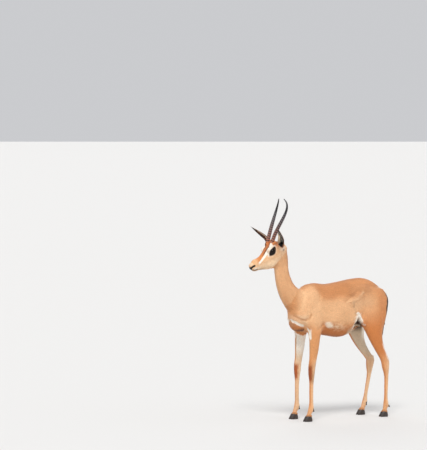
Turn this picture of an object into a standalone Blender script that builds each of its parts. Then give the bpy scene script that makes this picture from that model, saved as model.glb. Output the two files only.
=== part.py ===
"""A gazelle doe standing still, modelled life size, with her head raised and the off hind foot forward.

Metres, +Z up. The animal faces -X, its left side is at -Y, and its soles are at Z = 0.
"""

import math
from collections import namedtuple

import bmesh
import bpy
import numpy as np
from mathutils import Matrix, Vector

for old_object in list(bpy.data.objects):
    bpy.data.objects.remove(old_object, do_unlink=True)

# Driving dimensions
TRACK = 0.160  # between the middles of the left and right feet
CUT = 0.0003  # the thin gap that parts one piece from the next
SCRAP = 1.0e-7  # a cut-off smaller than this volume is dropped
BODY_VOXEL = 0.0036  # grain of the blended body form
HEAD_VOXEL = 0.0019  # grain of the blended head form
BODY_TRIANGLES = 5700
HEAD_TRIANGLES = 2600
BODY_EASING = 70  # rounds of smoothing that ease the creases of each blended form
HEAD_EASING = 46
RING_SIDES = 40  # points round each blended form before it is blended

HEAD_PITCH = math.radians(27.0)  # rise of the head's own axis from the nose to the back of the skull
NOSE = Vector((-0.605, 0.0, 0.9215))
HEAD_BACK = Vector((math.cos(HEAD_PITCH), 0.0, math.sin(HEAD_PITCH)))
HEAD_UP = Vector((-math.sin(HEAD_PITCH), 0.0, math.cos(HEAD_PITCH)))

EYE_RADIUS = 0.0165
EYE_BACK = 0.163  # from the nose along the head's axis
EYE_RISE = 0.0200
EYE_OUT = 0.0385  # from the middle plane to the eyeball's centre
EYE_GAZE_FORWARD = 0.30
EYE_GAZE_UP = 0.06

HORN_ROOT_RADIUS = 0.0114
HORN_TIP_RADIUS = 0.0026
HORN_FULLNESS = 2.6  # 1 tapers evenly; more stays thick further up
HORN_RINGS = 15
HORN_RINGED_SHARE = 0.70  # of the horn's length
HORN_RING_HEIGHT = 0.10  # of the radius
HORN_OVAL = 0.86  # side to side width as a share of the fore and aft one
HORN_SIDES = 8

EAR_LENGTH = 0.165
EAR_HALF_WIDTH = 0.0245
EAR_WALL = 0.0028

HOOF_LENGTH = 0.052
HOOF_HEIGHT = 0.033
CLAW_WIDTH = 0.0185
CLEFT = 0.0024
FETLOCK_HEIGHT = 0.064  # of the small claws behind each foot
FETLOCK_BACK = 0.030

TAIL_ROOT = 0.772  # heights of the tail's root, of the end of its dock and of the tip of its tuft
TAIL_DOCK_END = 0.530
TUFT_END = 0.468
TUFT_OVERLAP = 0.030  # how far up the dock the tuft's locks are rooted
TAIL_STEPS = 10
TAIL_SIDES = 10
HOCK_HEIGHT = 0.335
HIP_HEIGHT = 0.70
OFF_HIND_SWING = 0.060  # how far the off hind foot stands forward of the near one
OFF_HIND_REACH = 0.030  # how far that leg's stifle is carried forward

SIDES = (("left", -1.0), ("right", 1.0))

Slice = namedtuple("Slice", "at low high half offset", defaults=(0.0,))


def material(name, colour, roughness):
    made = bpy.data.materials.new(name)
    made.use_nodes = True
    shader = made.node_tree.nodes["Principled BSDF"]
    shader.inputs["Base Color"].default_value = (*colour, 1.0)
    shader.inputs["Roughness"].default_value = roughness
    shader.inputs["Metallic"].default_value = 0.0
    return made


def between(slices, count):
    """Many slices on a smooth curve through a few, spaced evenly along the form."""
    rows = np.array([tuple(one) for one in slices])
    knots = rows[:, 0]
    slopes = np.gradient(rows, knots, axis=0)
    made = []
    for at in np.linspace(knots[0], knots[-1], count):
        left = min(int(np.searchsorted(knots, at, side="right")) - 1, len(knots) - 2)
        step = knots[left + 1] - knots[left]
        share = (at - knots[left]) / step
        square = share * share
        cube = square * share
        row = (2 * cube - 3 * square + 1) * rows[left]
        row = row + (cube - 2 * square + share) * step * slopes[left]
        row = row + (3 * square - 2 * cube) * rows[left + 1]
        row = row + (cube - square) * step * slopes[left + 1]
        made.append(Slice(at, *row[1:]))
    return made


def new_object(name, mesh_data):
    mesh = bpy.data.meshes.new(name)
    mesh_data.to_mesh(mesh)
    mesh_data.free()
    made = bpy.data.objects.new(name, mesh)
    bpy.context.scene.collection.objects.link(made)
    return made


def ringed(name, rings):
    """A closed skin over rings of points, each end closed by a fan round its middle."""
    data = bmesh.new()
    loops = []
    for ring in rings:
        loops.append([data.verts.new(point) for point in ring])
    sides = len(loops[0])
    for near, far in zip(loops, loops[1:]):
        for i in range(sides):
            j = (i + 1) % sides
            data.faces.new((near[i], near[j], far[j], far[i]))
    for loop, turn in ((loops[0], -1), (loops[-1], 1)):
        middle = sum((corner.co for corner in loop), Vector()) / sides
        pole = data.verts.new(middle)
        for i in range(sides):
            j = (i + 1) % sides
            edge = (loop[i], loop[j]) if turn > 0 else (loop[j], loop[i])
            data.faces.new((*edge, pole))
    bmesh.ops.recalc_face_normals(data, faces=data.faces)
    if data.calc_volume(signed=True) < 0:
        bmesh.ops.reverse_faces(data, faces=data.faces)
    return new_object(name, data)


def trunk_ring(cut, narrow):
    """One upright section of the trunk: widest a little below its middle, narrower along the spine."""
    widest = cut.low + 0.46 * (cut.high - cut.low)
    points = []
    for i in range(RING_SIDES):
        angle = 2 * math.pi * i / RING_SIDES
        rise = math.sin(angle)
        reach = (cut.high - widest) if rise > 0 else (widest - cut.low)
        across = cut.half * math.copysign(abs(math.cos(angle)) ** 0.88, math.cos(angle))
        points.append(Vector((cut.at, across * (1 - narrow * rise), widest + reach * rise)))
    return points


def level_ring(cut, side, power=0.92):
    """One level section of a neck or a leg: an oval from its front edge to its back edge."""
    middle = (cut.low + cut.high) / 2
    reach = (cut.high - cut.low) / 2
    points = []
    for i in range(RING_SIDES):
        angle = 2 * math.pi * i / RING_SIDES
        along = math.copysign(abs(math.cos(angle)) ** power, math.cos(angle))
        across = math.copysign(abs(math.sin(angle)) ** power, math.sin(angle))
        points.append(Vector((middle + reach * along, side * cut.offset + cut.half * across, cut.at)))
    return points


def head_point(back, rise, across):
    return NOSE + HEAD_BACK * back + HEAD_UP * rise + Vector((0.0, across, 0.0))


def lump(name, centre, size, tilt=0.0, segments=24):
    """A smooth swelling: an ellipsoid, tilted in the fore and aft plane."""
    data = bmesh.new()
    turn = Matrix.Rotation(-tilt, 4, "Y")
    place = Matrix.Translation(centre) @ turn @ Matrix.Diagonal((*size, 1.0))
    rows = segments // 2 + 1
    bmesh.ops.create_uvsphere(data, u_segments=segments, v_segments=rows, radius=1.0, matrix=place)
    return new_object(name, data)


def apply_modifier(target, kind, **settings):
    bpy.ops.object.select_all(action="DESELECT")
    bpy.context.view_layer.objects.active = target
    target.select_set(True)
    modifier = target.modifiers.new(kind, kind)
    for setting, value in settings.items():
        setattr(modifier, setting, value)
    bpy.ops.object.modifier_apply(modifier=modifier.name)


def triangles(target):
    return sum(len(face.vertices) - 2 for face in target.data.polygons)


def join(pieces):
    bpy.ops.object.select_all(action="DESELECT")
    for piece in pieces:
        piece.select_set(True)
    bpy.context.view_layer.objects.active = pieces[0]
    bpy.ops.object.join()
    return pieces[0]


def triangulate(target):
    data = bmesh.new()
    data.from_mesh(target.data)
    bmesh.ops.triangulate(data, faces=data.faces)
    data.to_mesh(target.data)
    data.free()


def blended(pieces, voxel, soft_passes, soft_weight, budget):
    """Overlapping closed forms made one skin, its creases eased where soft_weight says."""
    whole = join(pieces)
    apply_modifier(whole, "REMESH", mode="VOXEL", voxel_size=voxel, adaptivity=0.0)
    group = whole.vertex_groups.new(name="soft")
    for corner in whole.data.vertices:
        group.add([corner.index], soft_weight(corner.co), "REPLACE")
    apply_modifier(whole, "SMOOTH", factor=0.5, iterations=soft_passes, vertex_group="soft")
    apply_modifier(whole, "SMOOTH", factor=0.5, iterations=3)
    whole.vertex_groups.clear()
    apply_modifier(whole, "DECIMATE", ratio=budget / triangles(whole), use_collapse_triangulate=True)
    return whole


def united(whole, others):
    """One Boolean union of a mesh with a collection of closed meshes."""
    group = bpy.data.collections.new("joined_pieces")
    bpy.context.scene.collection.children.link(group)
    for other in others:
        group.objects.link(other)
    apply_modifier(
        whole, "BOOLEAN", operation="UNION", operand_type="COLLECTION", collection=group, solver="EXACT"
    )
    for other in others:
        bpy.data.objects.remove(other, do_unlink=True)
    bpy.data.collections.remove(group)
    return whole


def cut_away(whole, cutters):
    """One Boolean cut of a mesh by a collection of closed meshes."""
    group = bpy.data.collections.new("cutting_pieces")
    bpy.context.scene.collection.children.link(group)
    for cutter in cutters:
        group.objects.link(cutter)
    apply_modifier(
        whole, "BOOLEAN", operation="DIFFERENCE", operand_type="COLLECTION", collection=group, solver="EXACT"
    )
    for cutter in cutters:
        bpy.data.objects.remove(cutter, do_unlink=True)
    bpy.data.collections.remove(group)


def blade(corner, first, second):
    """A thin plate that parts two pieces: a parallelogram with one corner and two edges given."""
    through = first.cross(second).normalized() * (CUT / 2)
    outline = (corner, corner + first, corner + first + second, corner + second)
    data = bmesh.new()
    under = [data.verts.new(point - through) for point in outline]
    over = [data.verts.new(point + through) for point in outline]
    data.faces.new(reversed(under))
    data.faces.new(over)
    for i in range(4):
        j = (i + 1) % 4
        data.faces.new((under[i], under[j], over[j], over[i]))
    bmesh.ops.recalc_face_normals(data, faces=data.faces)
    return new_object("blade", data)


def square_blade(centre, normal, along, length, width):
    """A blade centred on a point and square to normal."""
    across = normal.cross(along).normalized()
    along = across.cross(normal).normalized()
    return blade(centre - along * length / 2 - across * width / 2, along * length, across * width)


def volume(piece):
    data = bmesh.new()
    data.from_mesh(piece.data)
    found = data.calc_volume(signed=True)
    data.free()
    return found


def holds(piece, place):
    """Whether a place is inside a closed piece: a ray from it crosses the skin an odd number of times."""
    way = Vector((0.123, 0.237, 0.964)).normalized()
    crossings = 0
    start = place
    while True:
        found, point, _, _ = piece.ray_cast(start, way)
        if not found:
            return crossings % 2 == 1
        crossings += 1
        start = point + way * 0.00001


def parted(whole, blades, wanted):
    """Cuts a body with thin blades and keeps the closed piece that holds each wanted place."""
    cut_away(whole, blades)
    bpy.ops.object.select_all(action="DESELECT")
    bpy.context.view_layer.objects.active = whole
    whole.select_set(True)
    bpy.ops.mesh.separate(type="LOOSE")
    loose = [piece for piece in bpy.context.selected_objects if volume(piece) > SCRAP]
    for scrap in bpy.context.selected_objects:
        if scrap not in loose:
            bpy.data.objects.remove(scrap, do_unlink=True)
    kept = {}
    for name, place in wanted.items():
        holders = [piece for piece in loose if holds(piece, place)]
        kept[name] = holders[0]
        loose.remove(holders[0])
    for scrap in loose:
        bpy.data.objects.remove(scrap, do_unlink=True)
    for name, piece in kept.items():
        piece.name = name
        piece.data.name = name
    return kept


def blade_of_head():
    """The cut from the throat, behind the jaw, up to the nape."""
    return blade(Vector((-0.318, -0.08, 1.0645)), Vector((0, 0.16, 0)), Vector((-0.154, 0, -0.159)))


def thigh_blades(side, reach):
    """The cut under the rump, and the one before the thigh, which meet along the fold of the flank."""
    groin = Vector((0.139, side * 0.006, 0.538))
    fold = Vector((-0.0625 - 1.15 * reach, side * 0.132, 0.150))
    down = Vector((0.050 - 0.5 * reach, 0, -0.120))
    lap = 0.001
    under_rump = blade(groin - Vector((lap, 0, 0)), Vector((0.25, 0, 0)), fold)
    before_thigh = blade(groin - down * (lap / down.length), fold, down)
    return [under_rump, before_thigh]


def trunk():
    cuts = (
        Slice(-0.330, 0.604, 0.652, 0.022),
        Slice(-0.308, 0.552, 0.705, 0.054),
        Slice(-0.250, 0.530, 0.790, 0.080),
        Slice(-0.180, 0.517, 0.817, 0.096),
        Slice(-0.080, 0.499, 0.811, 0.107),
        Slice(0.020, 0.488, 0.823, 0.112),
        Slice(0.110, 0.526, 0.837, 0.106),
        Slice(0.190, 0.584, 0.839, 0.090),
        Slice(0.270, 0.612, 0.808, 0.072),
        Slice(0.328, 0.648, 0.758, 0.045),
        Slice(0.345, 0.680, 0.730, 0.022),
    )
    return ringed("trunk", [trunk_ring(cut, 0.16) for cut in between(cuts, 60)])


def neck():
    cuts = (
        Slice(0.590, -0.288, -0.120, 0.066),
        Slice(0.640, -0.322, -0.140, 0.066),
        Slice(0.680, -0.353, -0.160, 0.063),
        Slice(0.725, -0.383, -0.190, 0.058),
        Slice(0.770, -0.404, -0.245, 0.051),
        Slice(0.810, -0.416, -0.298, 0.045),
        Slice(0.850, -0.424, -0.322, 0.040),
        Slice(0.915, -0.432, -0.341, 0.036),
        Slice(0.965, -0.434, -0.342, 0.036),
        Slice(1.015, -0.425, -0.350, 0.030),
    )
    return ringed("neck", [level_ring(cut, 0.0) for cut in between(cuts, 44)])


def foreleg(side):
    cuts = (
        Slice(0.020, -0.262, -0.234, 0.0135, TRACK / 2),
        Slice(0.046, -0.252, -0.223, 0.0135, TRACK / 2),
        Slice(0.072, -0.244, -0.207, 0.0152, TRACK / 2),
        Slice(0.100, -0.239, -0.210, 0.0122, TRACK / 2),
        Slice(0.165, -0.238, -0.211, 0.0112, TRACK / 2),
        Slice(0.245, -0.239, -0.207, 0.0125, TRACK / 2),
        Slice(0.285, -0.243, -0.202, 0.0178, TRACK / 2),
        Slice(0.325, -0.243, -0.197, 0.0190, TRACK / 2),
        Slice(0.370, -0.237, -0.188, 0.0180, TRACK / 2),
        Slice(0.430, -0.236, -0.175, 0.0225, TRACK / 2),
        Slice(0.500, -0.238, -0.164, 0.0290, 0.079),
        Slice(0.560, -0.254, -0.148, 0.0370, 0.074),
        Slice(0.640, -0.280, -0.145, 0.0360, 0.064),
        Slice(0.720, -0.265, -0.145, 0.0300, 0.050),
        Slice(0.770, -0.240, -0.150, 0.0200, 0.034),
    )
    return ringed("foreleg", [level_ring(cut, side) for cut in between(cuts, 90)])


def hind_leg(side, swing, reach):
    """The leg from hip to pastern; swing carries its foot forward, and reach carries its stifle forward."""
    cuts = (
        Slice(0.020, 0.280, 0.310, 0.0135, TRACK / 2),
        Slice(0.048, 0.289, 0.318, 0.0135, TRACK / 2),
        Slice(0.074, 0.292, 0.327, 0.0152, TRACK / 2),
        Slice(0.105, 0.296, 0.322, 0.0118, TRACK / 2),
        Slice(0.180, 0.298, 0.324, 0.0112, TRACK / 2),
        Slice(0.255, 0.296, 0.327, 0.0140, TRACK / 2),
        Slice(0.300, 0.282, 0.331, 0.0182, TRACK / 2),
        Slice(0.340, 0.272, 0.331, 0.0178, TRACK / 2),
        Slice(0.380, 0.247, 0.313, 0.0175, TRACK / 2),
        Slice(0.430, 0.214, 0.291, 0.0230, 0.080),
        Slice(0.500, 0.173, 0.281, 0.0330, 0.078),
        Slice(0.575, 0.133, 0.302, 0.0440, 0.074),
        Slice(0.650, 0.103, 0.328, 0.0500, 0.064),
        Slice(0.720, 0.102, 0.338, 0.0480, 0.052),
        Slice(0.775, 0.150, 0.310, 0.0360, 0.038),
    )
    rings = []
    for cut in between(cuts, 92):
        below = max(0.0, (HOCK_HEIGHT - cut.at) / HOCK_HEIGHT)
        above = min(1.0, max(0.0, (cut.at - HOCK_HEIGHT) / (HIP_HEIGHT - HOCK_HEIGHT)))
        forward = swing * below**0.9 + reach * math.sin(math.pi * above) ** 0.8
        rings.append(level_ring(cut._replace(low=cut.low - forward, high=cut.high - forward), side))
    return ringed("hind_leg", rings)


def body_muscles(side):
    """Swellings that bone and muscle raise under the skin of one side."""
    return [
        lump("blade_of_shoulder", Vector((-0.210, side * 0.052, 0.680)), (0.058, 0.040, 0.110), -0.38),
        lump("point_of_shoulder", Vector((-0.262, side * 0.055, 0.618)), (0.042, 0.034, 0.044), 0.0),
        lump("point_of_elbow", Vector((-0.165, side * 0.076, 0.560)), (0.026, 0.022, 0.034), 0.3),
        lump("point_of_hip", Vector((0.160, side * 0.056, 0.770)), (0.066, 0.034, 0.032), -0.2),
        lump("stifle", Vector((0.142, side * 0.084, 0.592)), (0.032, 0.028, 0.048), -0.45),
        lump("point_of_hock", Vector((0.316, side * TRACK / 2, 0.338)), (0.0125, 0.010, 0.024), -0.2),
        lump("buttock", Vector((0.290, side * 0.048, 0.690)), (0.044, 0.042, 0.074), -0.15),
    ]


def soft_on_body(place):
    """Full easing on the trunk, none on the slender lower legs."""
    return min(1.0, max(0.0, (place.z - 0.42) / 0.12))


def body_form():
    pieces = [trunk(), neck(), skull()]
    for name, side in SIDES:
        pieces.append(foreleg(side))
        off = name == "right"
        pieces.append(hind_leg(side, OFF_HIND_SWING * off, OFF_HIND_REACH * off))
        pieces.extend(body_muscles(side))
    return blended(pieces, BODY_VOXEL, BODY_EASING, soft_on_body, BODY_TRIANGLES)


def skull():
    """The head without its ears and horns, in slices across its own axis."""
    cuts = (
        Slice(0.000, -0.016, 0.004, 0.0080),
        Slice(0.010, -0.031, 0.015, 0.0165),
        Slice(0.024, -0.0395, 0.0215, 0.0200),
        Slice(0.040, -0.0435, 0.0285, 0.0208),
        Slice(0.066, -0.0525, 0.0250, 0.0215),
        Slice(0.090, -0.064, 0.0270, 0.0250),
        Slice(0.125, -0.079, 0.0400, 0.0335),
        Slice(0.160, -0.088, 0.0525, 0.0455),
        Slice(0.195, -0.089, 0.0595, 0.0460),
        Slice(0.230, -0.076, 0.0510, 0.0430),
        Slice(0.256, -0.055, 0.0340, 0.0350),
        Slice(0.272, -0.036, 0.0080, 0.0200),
    )
    rings = []
    for cut in between(cuts, 70):
        ring = []
        widest = cut.low + 0.60 * (cut.high - cut.low)
        for i in range(RING_SIDES):
            angle = 2 * math.pi * i / RING_SIDES
            rise = math.sin(angle)
            reach = (cut.high - widest) if rise > 0 else (widest - cut.low)
            across = cut.half * math.cos(angle)
            if rise < 0:
                across *= 1 - 0.30 * rise * rise
            ring.append(head_point(cut.at, widest + reach * rise, across))
        rings.append(ring)
    return ringed("skull", rings)


def eye_frame(side):
    """The eyeball's centre, the way it looks, and its long and short directions."""
    centre = head_point(EYE_BACK, EYE_RISE, side * EYE_OUT)
    gaze = (Vector((0, side, 0)) - HEAD_BACK * EYE_GAZE_FORWARD + HEAD_UP * EYE_GAZE_UP).normalized()
    long_way = (HEAD_BACK + HEAD_UP * 0.52).normalized()
    long_way = (long_way - gaze * long_way.dot(gaze)).normalized()
    return centre, gaze, long_way, gaze.cross(long_way) * side


def tube(name, points, radii, sides=10):
    """A closed tube along points, with a radius at each."""
    rings = []
    for i, point in enumerate(points):
        ahead = points[min(i + 1, len(points) - 1)] - points[max(i - 1, 0)]
        first = ahead.cross(Vector((0.31, 0.17, 0.94))).normalized()
        second = ahead.cross(first).normalized()
        ring = []
        for k in range(sides):
            angle = 2 * math.pi * k / sides
            ring.append(point + radii[i] * (first * math.cos(angle) + second * math.sin(angle)))
        rings.append(ring)
    return ringed(name, rings)


def lids(side):
    """A rim round the eye's opening: two arcs on the ball that meet in a corner in front and behind."""
    centre, gaze, long_way, short_way = eye_frame(side)
    pieces = []
    for lid, height in (("upper_lid", 0.64), ("lower_lid", -0.56)):
        points = []
        steps = 14
        for i in range(steps + 1):
            share = i / steps
            along = -1.02 + 2.04 * share
            bow = height * max(0.0, 1 - (along / 1.02) ** 2) ** 0.62
            way = (gaze * 0.62 + long_way * along * 0.92 + short_way * bow * 1.05).normalized()
            points.append(centre + way * (EYE_RADIUS + 0.0012))
        thick = [0.0024 + 0.0010 * math.sin(math.pi * i / steps) for i in range(steps + 1)]
        pieces.append(tube(lid, points, thick))
    return pieces


def head_swellings():
    """Cheeks, brows, roots of ears and horns, nostril wings, lips and lids, placed by back, rise and side."""
    forms = (
        ("cheek", (0.150, -0.042, 0.020), (0.050, 0.020, 0.034), HEAD_PITCH),
        ("brow", (0.160, 0.0375, 0.0345), (0.030, 0.0175, 0.0145), HEAD_PITCH),
        ("socket_edge", (0.163, 0.015, 0.034), (0.030, 0.0135, 0.023), HEAD_PITCH),
        ("ear_root", (0.230, 0.013, 0.038), (0.020, 0.017, 0.020), HEAD_PITCH),
        ("horn_root", (0.194, 0.0545, 0.024), (0.025, 0.0175, 0.0185), HEAD_PITCH),
        ("nostril_wing", (0.019, 0.003, 0.0110), (0.016, 0.0085, 0.0120), 0.3),
        ("upper_lip", (0.028, -0.016, 0.0115), (0.028, 0.0090, 0.0100), 0.35),
        ("lower_lip", (0.032, -0.032, 0.0080), (0.024, 0.0085, 0.0080), 0.30),
    )
    pieces = []
    for _, side in SIDES:
        for name, (back, rise, across), size, tilt in forms:
            pieces.append(lump(name, head_point(back, rise, side * across), size, tilt))
        pieces.extend(lids(side))
    return pieces


def soft_on_head(place):
    """Creases of the skull are eased most at the back, least on the muzzle and round the eyes."""
    back = (place - NOSE).dot(HEAD_BACK)
    eased = min(1.0, max(0.30, (back - 0.03) / 0.08))
    for _, side in SIDES:
        centre = head_point(EYE_BACK, EYE_RISE, side * EYE_OUT)
        away = (place - centre).length - EYE_RADIUS
        eased = min(eased, max(0.10, away / 0.010))
    return eased


def mouth_groove():
    """A thin curved wedge that draws the line of the mouth round the muzzle."""
    points = []
    steps = 22
    for i in range(steps + 1):
        angle = math.pi * (i / steps - 0.5)
        back = 0.060 - 0.062 * math.cos(angle) ** 0.75
        across = 0.0225 * math.copysign(abs(math.sin(angle)) ** 0.8, math.sin(angle))
        rise = -0.0205 - 0.0135 * (back / 0.060) ** 1.2 if back > 0 else -0.0205
        points.append(head_point(back, rise, across))
    return tube("mouth_groove", points, [0.0016] * (steps + 1), 8)


def nostrils():
    pieces = []
    for _, side in SIDES:
        points = []
        for i in range(7):
            share = i / 6
            back = 0.005 + 0.020 * share
            rise = -0.007 + 0.004 * share + 0.003 * math.sin(math.pi * share)
            across = side * (0.0125 + 0.0085 * share ** 0.7)
            points.append(head_point(back, rise, across))
        thick = [0.0014 + 0.0019 * math.sin(math.pi * (i + 0.5) / 7) for i in range(7)]
        pieces.append(tube("nostril", points, thick, 8))
    return pieces


def horn_curve(side):
    root = Vector((-0.4690, side * 0.0240, 1.0470))
    rise = Vector((-0.4420, side * 0.0270, 1.1700))
    bend = Vector((-0.3510, side * 0.0930, 1.2650))
    tip = Vector((-0.3850, side * 0.0290, 1.3210))
    return root, rise, bend, tip


def bezier(points, share):
    a, b, c, d = points
    rest = 1 - share
    return a * rest**3 + b * (3 * rest**2 * share) + c * (3 * rest * share**2) + d * share**3


def horn(side):
    """A slender horn that leans back and out, turns its tip in, and is ringed but for its smooth tip."""
    shares = []
    heights = []
    for ring in range(HORN_RINGS):
        for part, height in ((0.0, 0.0), (0.42, 0.75), (0.72, 1.0)):
            shares.append((ring + part) / HORN_RINGS * HORN_RINGED_SHARE)
            heights.append(height * (1 - 0.45 * ring / HORN_RINGS))
    for step in range(9):
        shares.append(HORN_RINGED_SHARE + (1 - HORN_RINGED_SHARE) * step / 8)
        heights.append(0.0)
    curve = horn_curve(side)
    rings = []
    for share, height in zip(shares, heights):
        middle = bezier(curve, share)
        ahead = (bezier(curve, min(1.0, share + 0.01)) - bezier(curve, max(0.0, share - 0.01))).normalized()
        across = ahead.cross(Vector((1, 0, 0))).normalized()
        fore = across.cross(ahead).normalized()
        taper = HORN_TIP_RADIUS + (HORN_ROOT_RADIUS - HORN_TIP_RADIUS) * (1 - share**HORN_FULLNESS)
        radius = taper * (1 + HORN_RING_HEIGHT * height)
        ring = []
        for k in range(HORN_SIDES):
            angle = 2 * math.pi * k / HORN_SIDES
            ring.append(middle + radius * (fore * math.cos(angle) + across * HORN_OVAL * math.sin(angle)))
        rings.append(ring)
    return ringed("horn", rings)


def ear_frame(side):
    """Where the ear starts, the way it points, and the way its cup opens."""
    root = head_point(0.232, 0.018, side * 0.046)
    near = side < 0
    tip = Vector((-0.508, side * 0.161, 1.143)) if near else Vector((-0.5185, side * 0.153, 1.158))
    way = (tip - root).normalized()
    opening = Vector((-0.90, side * 0.42, 0.05))
    opening = (opening - way * opening.dot(way)).normalized()
    return root, way, opening, way.cross(opening)


def ear(side):
    """A pointed leaf, rolled to a tube at its root and open in front, with a wall of even thickness."""
    root, way, opening, across = ear_frame(side)
    rows, arc = 11, 8
    outer, inner = [], []
    for i in range(rows + 1):
        share = i / rows
        half = 0.013 + (EAR_HALF_WIDTH - 0.013) * math.sin(math.pi * min(1.0, share / 0.80)) ** 0.9
        if share > 0.40:
            half = EAR_HALF_WIDTH * (1 - ((share - 0.40) / 0.60) ** 2.1) + 0.0012
        spread = math.radians(155 - 95 * min(1.0, share / 0.45))
        radius = half / max(math.sin(min(spread, math.pi / 2)), 0.5)
        middle = root + way * (EAR_LENGTH * share) + opening * (radius * 0.55 - 0.006)
        wall = min(EAR_WALL, radius * 0.55)
        for shell, distance in ((outer, radius), (inner, radius - wall)):
            row = []
            for k in range(arc + 1):
                angle = spread * (2 * k / arc - 1)
                away = across * math.sin(angle) - opening * math.cos(angle)
                row.append(middle + away * distance)
            shell.append(row)
    data = bmesh.new()
    outer = [[data.verts.new(point) for point in row] for row in outer]
    inner = [[data.verts.new(point) for point in row] for row in inner]
    for i in range(rows):
        for k in range(arc):
            data.faces.new((outer[i][k], outer[i][k + 1], outer[i + 1][k + 1], outer[i + 1][k]))
            data.faces.new((inner[i][k + 1], inner[i][k], inner[i + 1][k], inner[i + 1][k + 1]))
        for k in (0, arc):
            data.faces.new((outer[i][k], outer[i + 1][k], inner[i + 1][k], inner[i][k]))
    for i in (0, rows):
        for k in range(arc):
            data.faces.new((outer[i][k], inner[i][k], inner[i][k + 1], outer[i][k + 1]))
    bmesh.ops.recalc_face_normals(data, faces=data.faces)
    bmesh.ops.triangulate(data, faces=data.faces)
    return new_object("ear", data)


def ear_plug(side):
    """Fills the rolled root of the ear, so that it stands on a closed stem."""
    root, way, opening, _ = ear_frame(side)
    points = []
    for i in range(6):
        points.append(root + way * (-0.012 + 0.009 * i) + opening * 0.001)
    return tube("ear_stem", points, [0.0155, 0.0160, 0.0158, 0.0148, 0.0125, 0.0060], 14)


def eyeball(side):
    centre, gaze, _, _ = eye_frame(side)
    data = bmesh.new()
    turn = gaze.to_track_quat("Z", "Y").to_matrix().to_4x4()
    place = Matrix.Translation(centre) @ turn
    bmesh.ops.create_uvsphere(data, u_segments=14, v_segments=9, radius=EYE_RADIUS, matrix=place)
    bmesh.ops.triangulate(data, faces=data.faces)
    return new_object("eye", data)


def eye_socket(side):
    centre, gaze, _, _ = eye_frame(side)
    data = bmesh.new()
    turn = gaze.to_track_quat("Z", "Y").to_matrix().to_4x4()
    place = Matrix.Translation(centre) @ turn
    radius = EYE_RADIUS + 2 * CUT
    bmesh.ops.create_uvsphere(data, u_segments=14, v_segments=9, radius=radius, matrix=place)
    return new_object("socket", data)


def hoof(foot_x, side):
    """Two pointed claws side by side, with flat soles, sloping toes and a narrow cleft."""
    claws = []
    for inner in (-1, 1):
        middle = side * TRACK / 2 + inner * (CLAW_WIDTH + CLEFT) / 2
        rings = []
        for height, toe, heel, width in (
            (0.0, 0.0, 1.0, 0.94),
            (0.14, 0.0, 1.02, 1.0),
            (0.60, 0.17, 1.00, 0.97),
            (1.0, 0.34, 0.96, 0.88),
        ):
            front = foot_x - HOOF_LENGTH * (0.62 - toe)
            back = foot_x + HOOF_LENGTH * (heel - 0.62)
            ring = []
            for k in range(10):
                angle = 2 * math.pi * k / 10
                along = math.cos(angle)
                across = math.sin(angle)
                pointed = 1 - 0.42 * max(0.0, -along) ** 2
                sideways = CLAW_WIDTH / 2 * width * across * pointed
                toward_cleft = inner * 0.0012 * max(0.0, -along)
                x = (front + back) / 2 + (back - front) / 2 * along
                ring.append(Vector((x, middle + sideways - toward_cleft, HOOF_HEIGHT * height)))
            rings.append(ring)
        claws.append(ringed("claw", rings))
    return claws


def dewclaws(foot_x, side):
    """Two small blunt claws behind the fetlock, clear of the ground."""
    claws = []
    for inner in (-1, 1):
        place = Vector((foot_x + FETLOCK_BACK, side * TRACK / 2 + inner * 0.0085, FETLOCK_HEIGHT))
        claws.append(lump("dewclaw", place, (0.0065, 0.0050, 0.0090), 0.5, 8))
    return claws


def tail_path(height):
    """How far back the tail's middle hangs at a height, and its half thickness and half width there."""
    hang = (
        Slice(0.480, 0.329, 0.0052, 0.0078),
        Slice(0.540, 0.342, 0.0056, 0.0086),
        Slice(0.600, 0.355, 0.0064, 0.0100),
        Slice(0.660, 0.361, 0.0076, 0.0128),
        Slice(0.720, 0.361, 0.0092, 0.0165),
        Slice(0.748, 0.347, 0.0115, 0.0190),
        Slice(0.772, 0.318, 0.0120, 0.0180),
    )
    fine = between(hang, TAIL_STEPS)
    heights = [cut.at for cut in fine]
    found = [np.interp(height, heights, [cut[i] for cut in fine]) for i in (1, 2, 3)]
    return tuple(float(value) for value in found)


def tail_form():
    """The dock: a flat, tapering strap of short hair that hangs from its root between the buttocks."""
    rings = []
    for i in range(TAIL_STEPS):
        height = TAIL_ROOT - (TAIL_ROOT - TAIL_DOCK_END) * i / (TAIL_STEPS - 1)
        back, thick, half = tail_path(height)
        ring = []
        for k in range(TAIL_SIDES):
            angle = 2 * math.pi * k / TAIL_SIDES
            ring.append(Vector((back + thick * math.cos(angle), half * math.sin(angle), height)))
        rings.append(ring)
    return ringed("tail", rings)


def tuft_locks():
    """Tapered locks that hang from the end of the dock and overlap to a point."""
    locks = []
    top = TAIL_DOCK_END + TUFT_OVERLAP
    for circle, (count, reach, spread) in enumerate(((1, 1.0, 0.0), (6, 0.78, 0.80))):
        for n in range(count):
            turn = 2 * math.pi * (n + 0.5 * circle) / count
            points, radii = [], []
            for i in range(5):
                share = i / 4
                height = top - (top - TUFT_END) * reach * share
                back, thick, half = tail_path(max(height, 0.480))
                bow = spread * (1 + 0.7 * math.sin(math.pi * share) - 0.9 * share)
                out = Vector((thick * math.cos(turn) * bow, half * math.sin(turn) * bow, 0.0))
                lean = 0.10 * min(0.0, height - 0.480)
                points.append(Vector((back + lean, 0.0, height)) + out)
                radii.append((0.0062 - 0.0020 * circle) * (1 - share) ** 0.75 + 0.0006)
            locks.append(tube("lock", points, radii, 5))
    return locks


def finish(piece, finish_material):
    piece.data.materials.clear()
    piece.data.materials.append(finish_material)
    triangulate(piece)
    for face in piece.data.polygons:
        face.use_smooth = True
    piece.data.set_sharp_from_angle(angle=math.radians(35))


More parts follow.
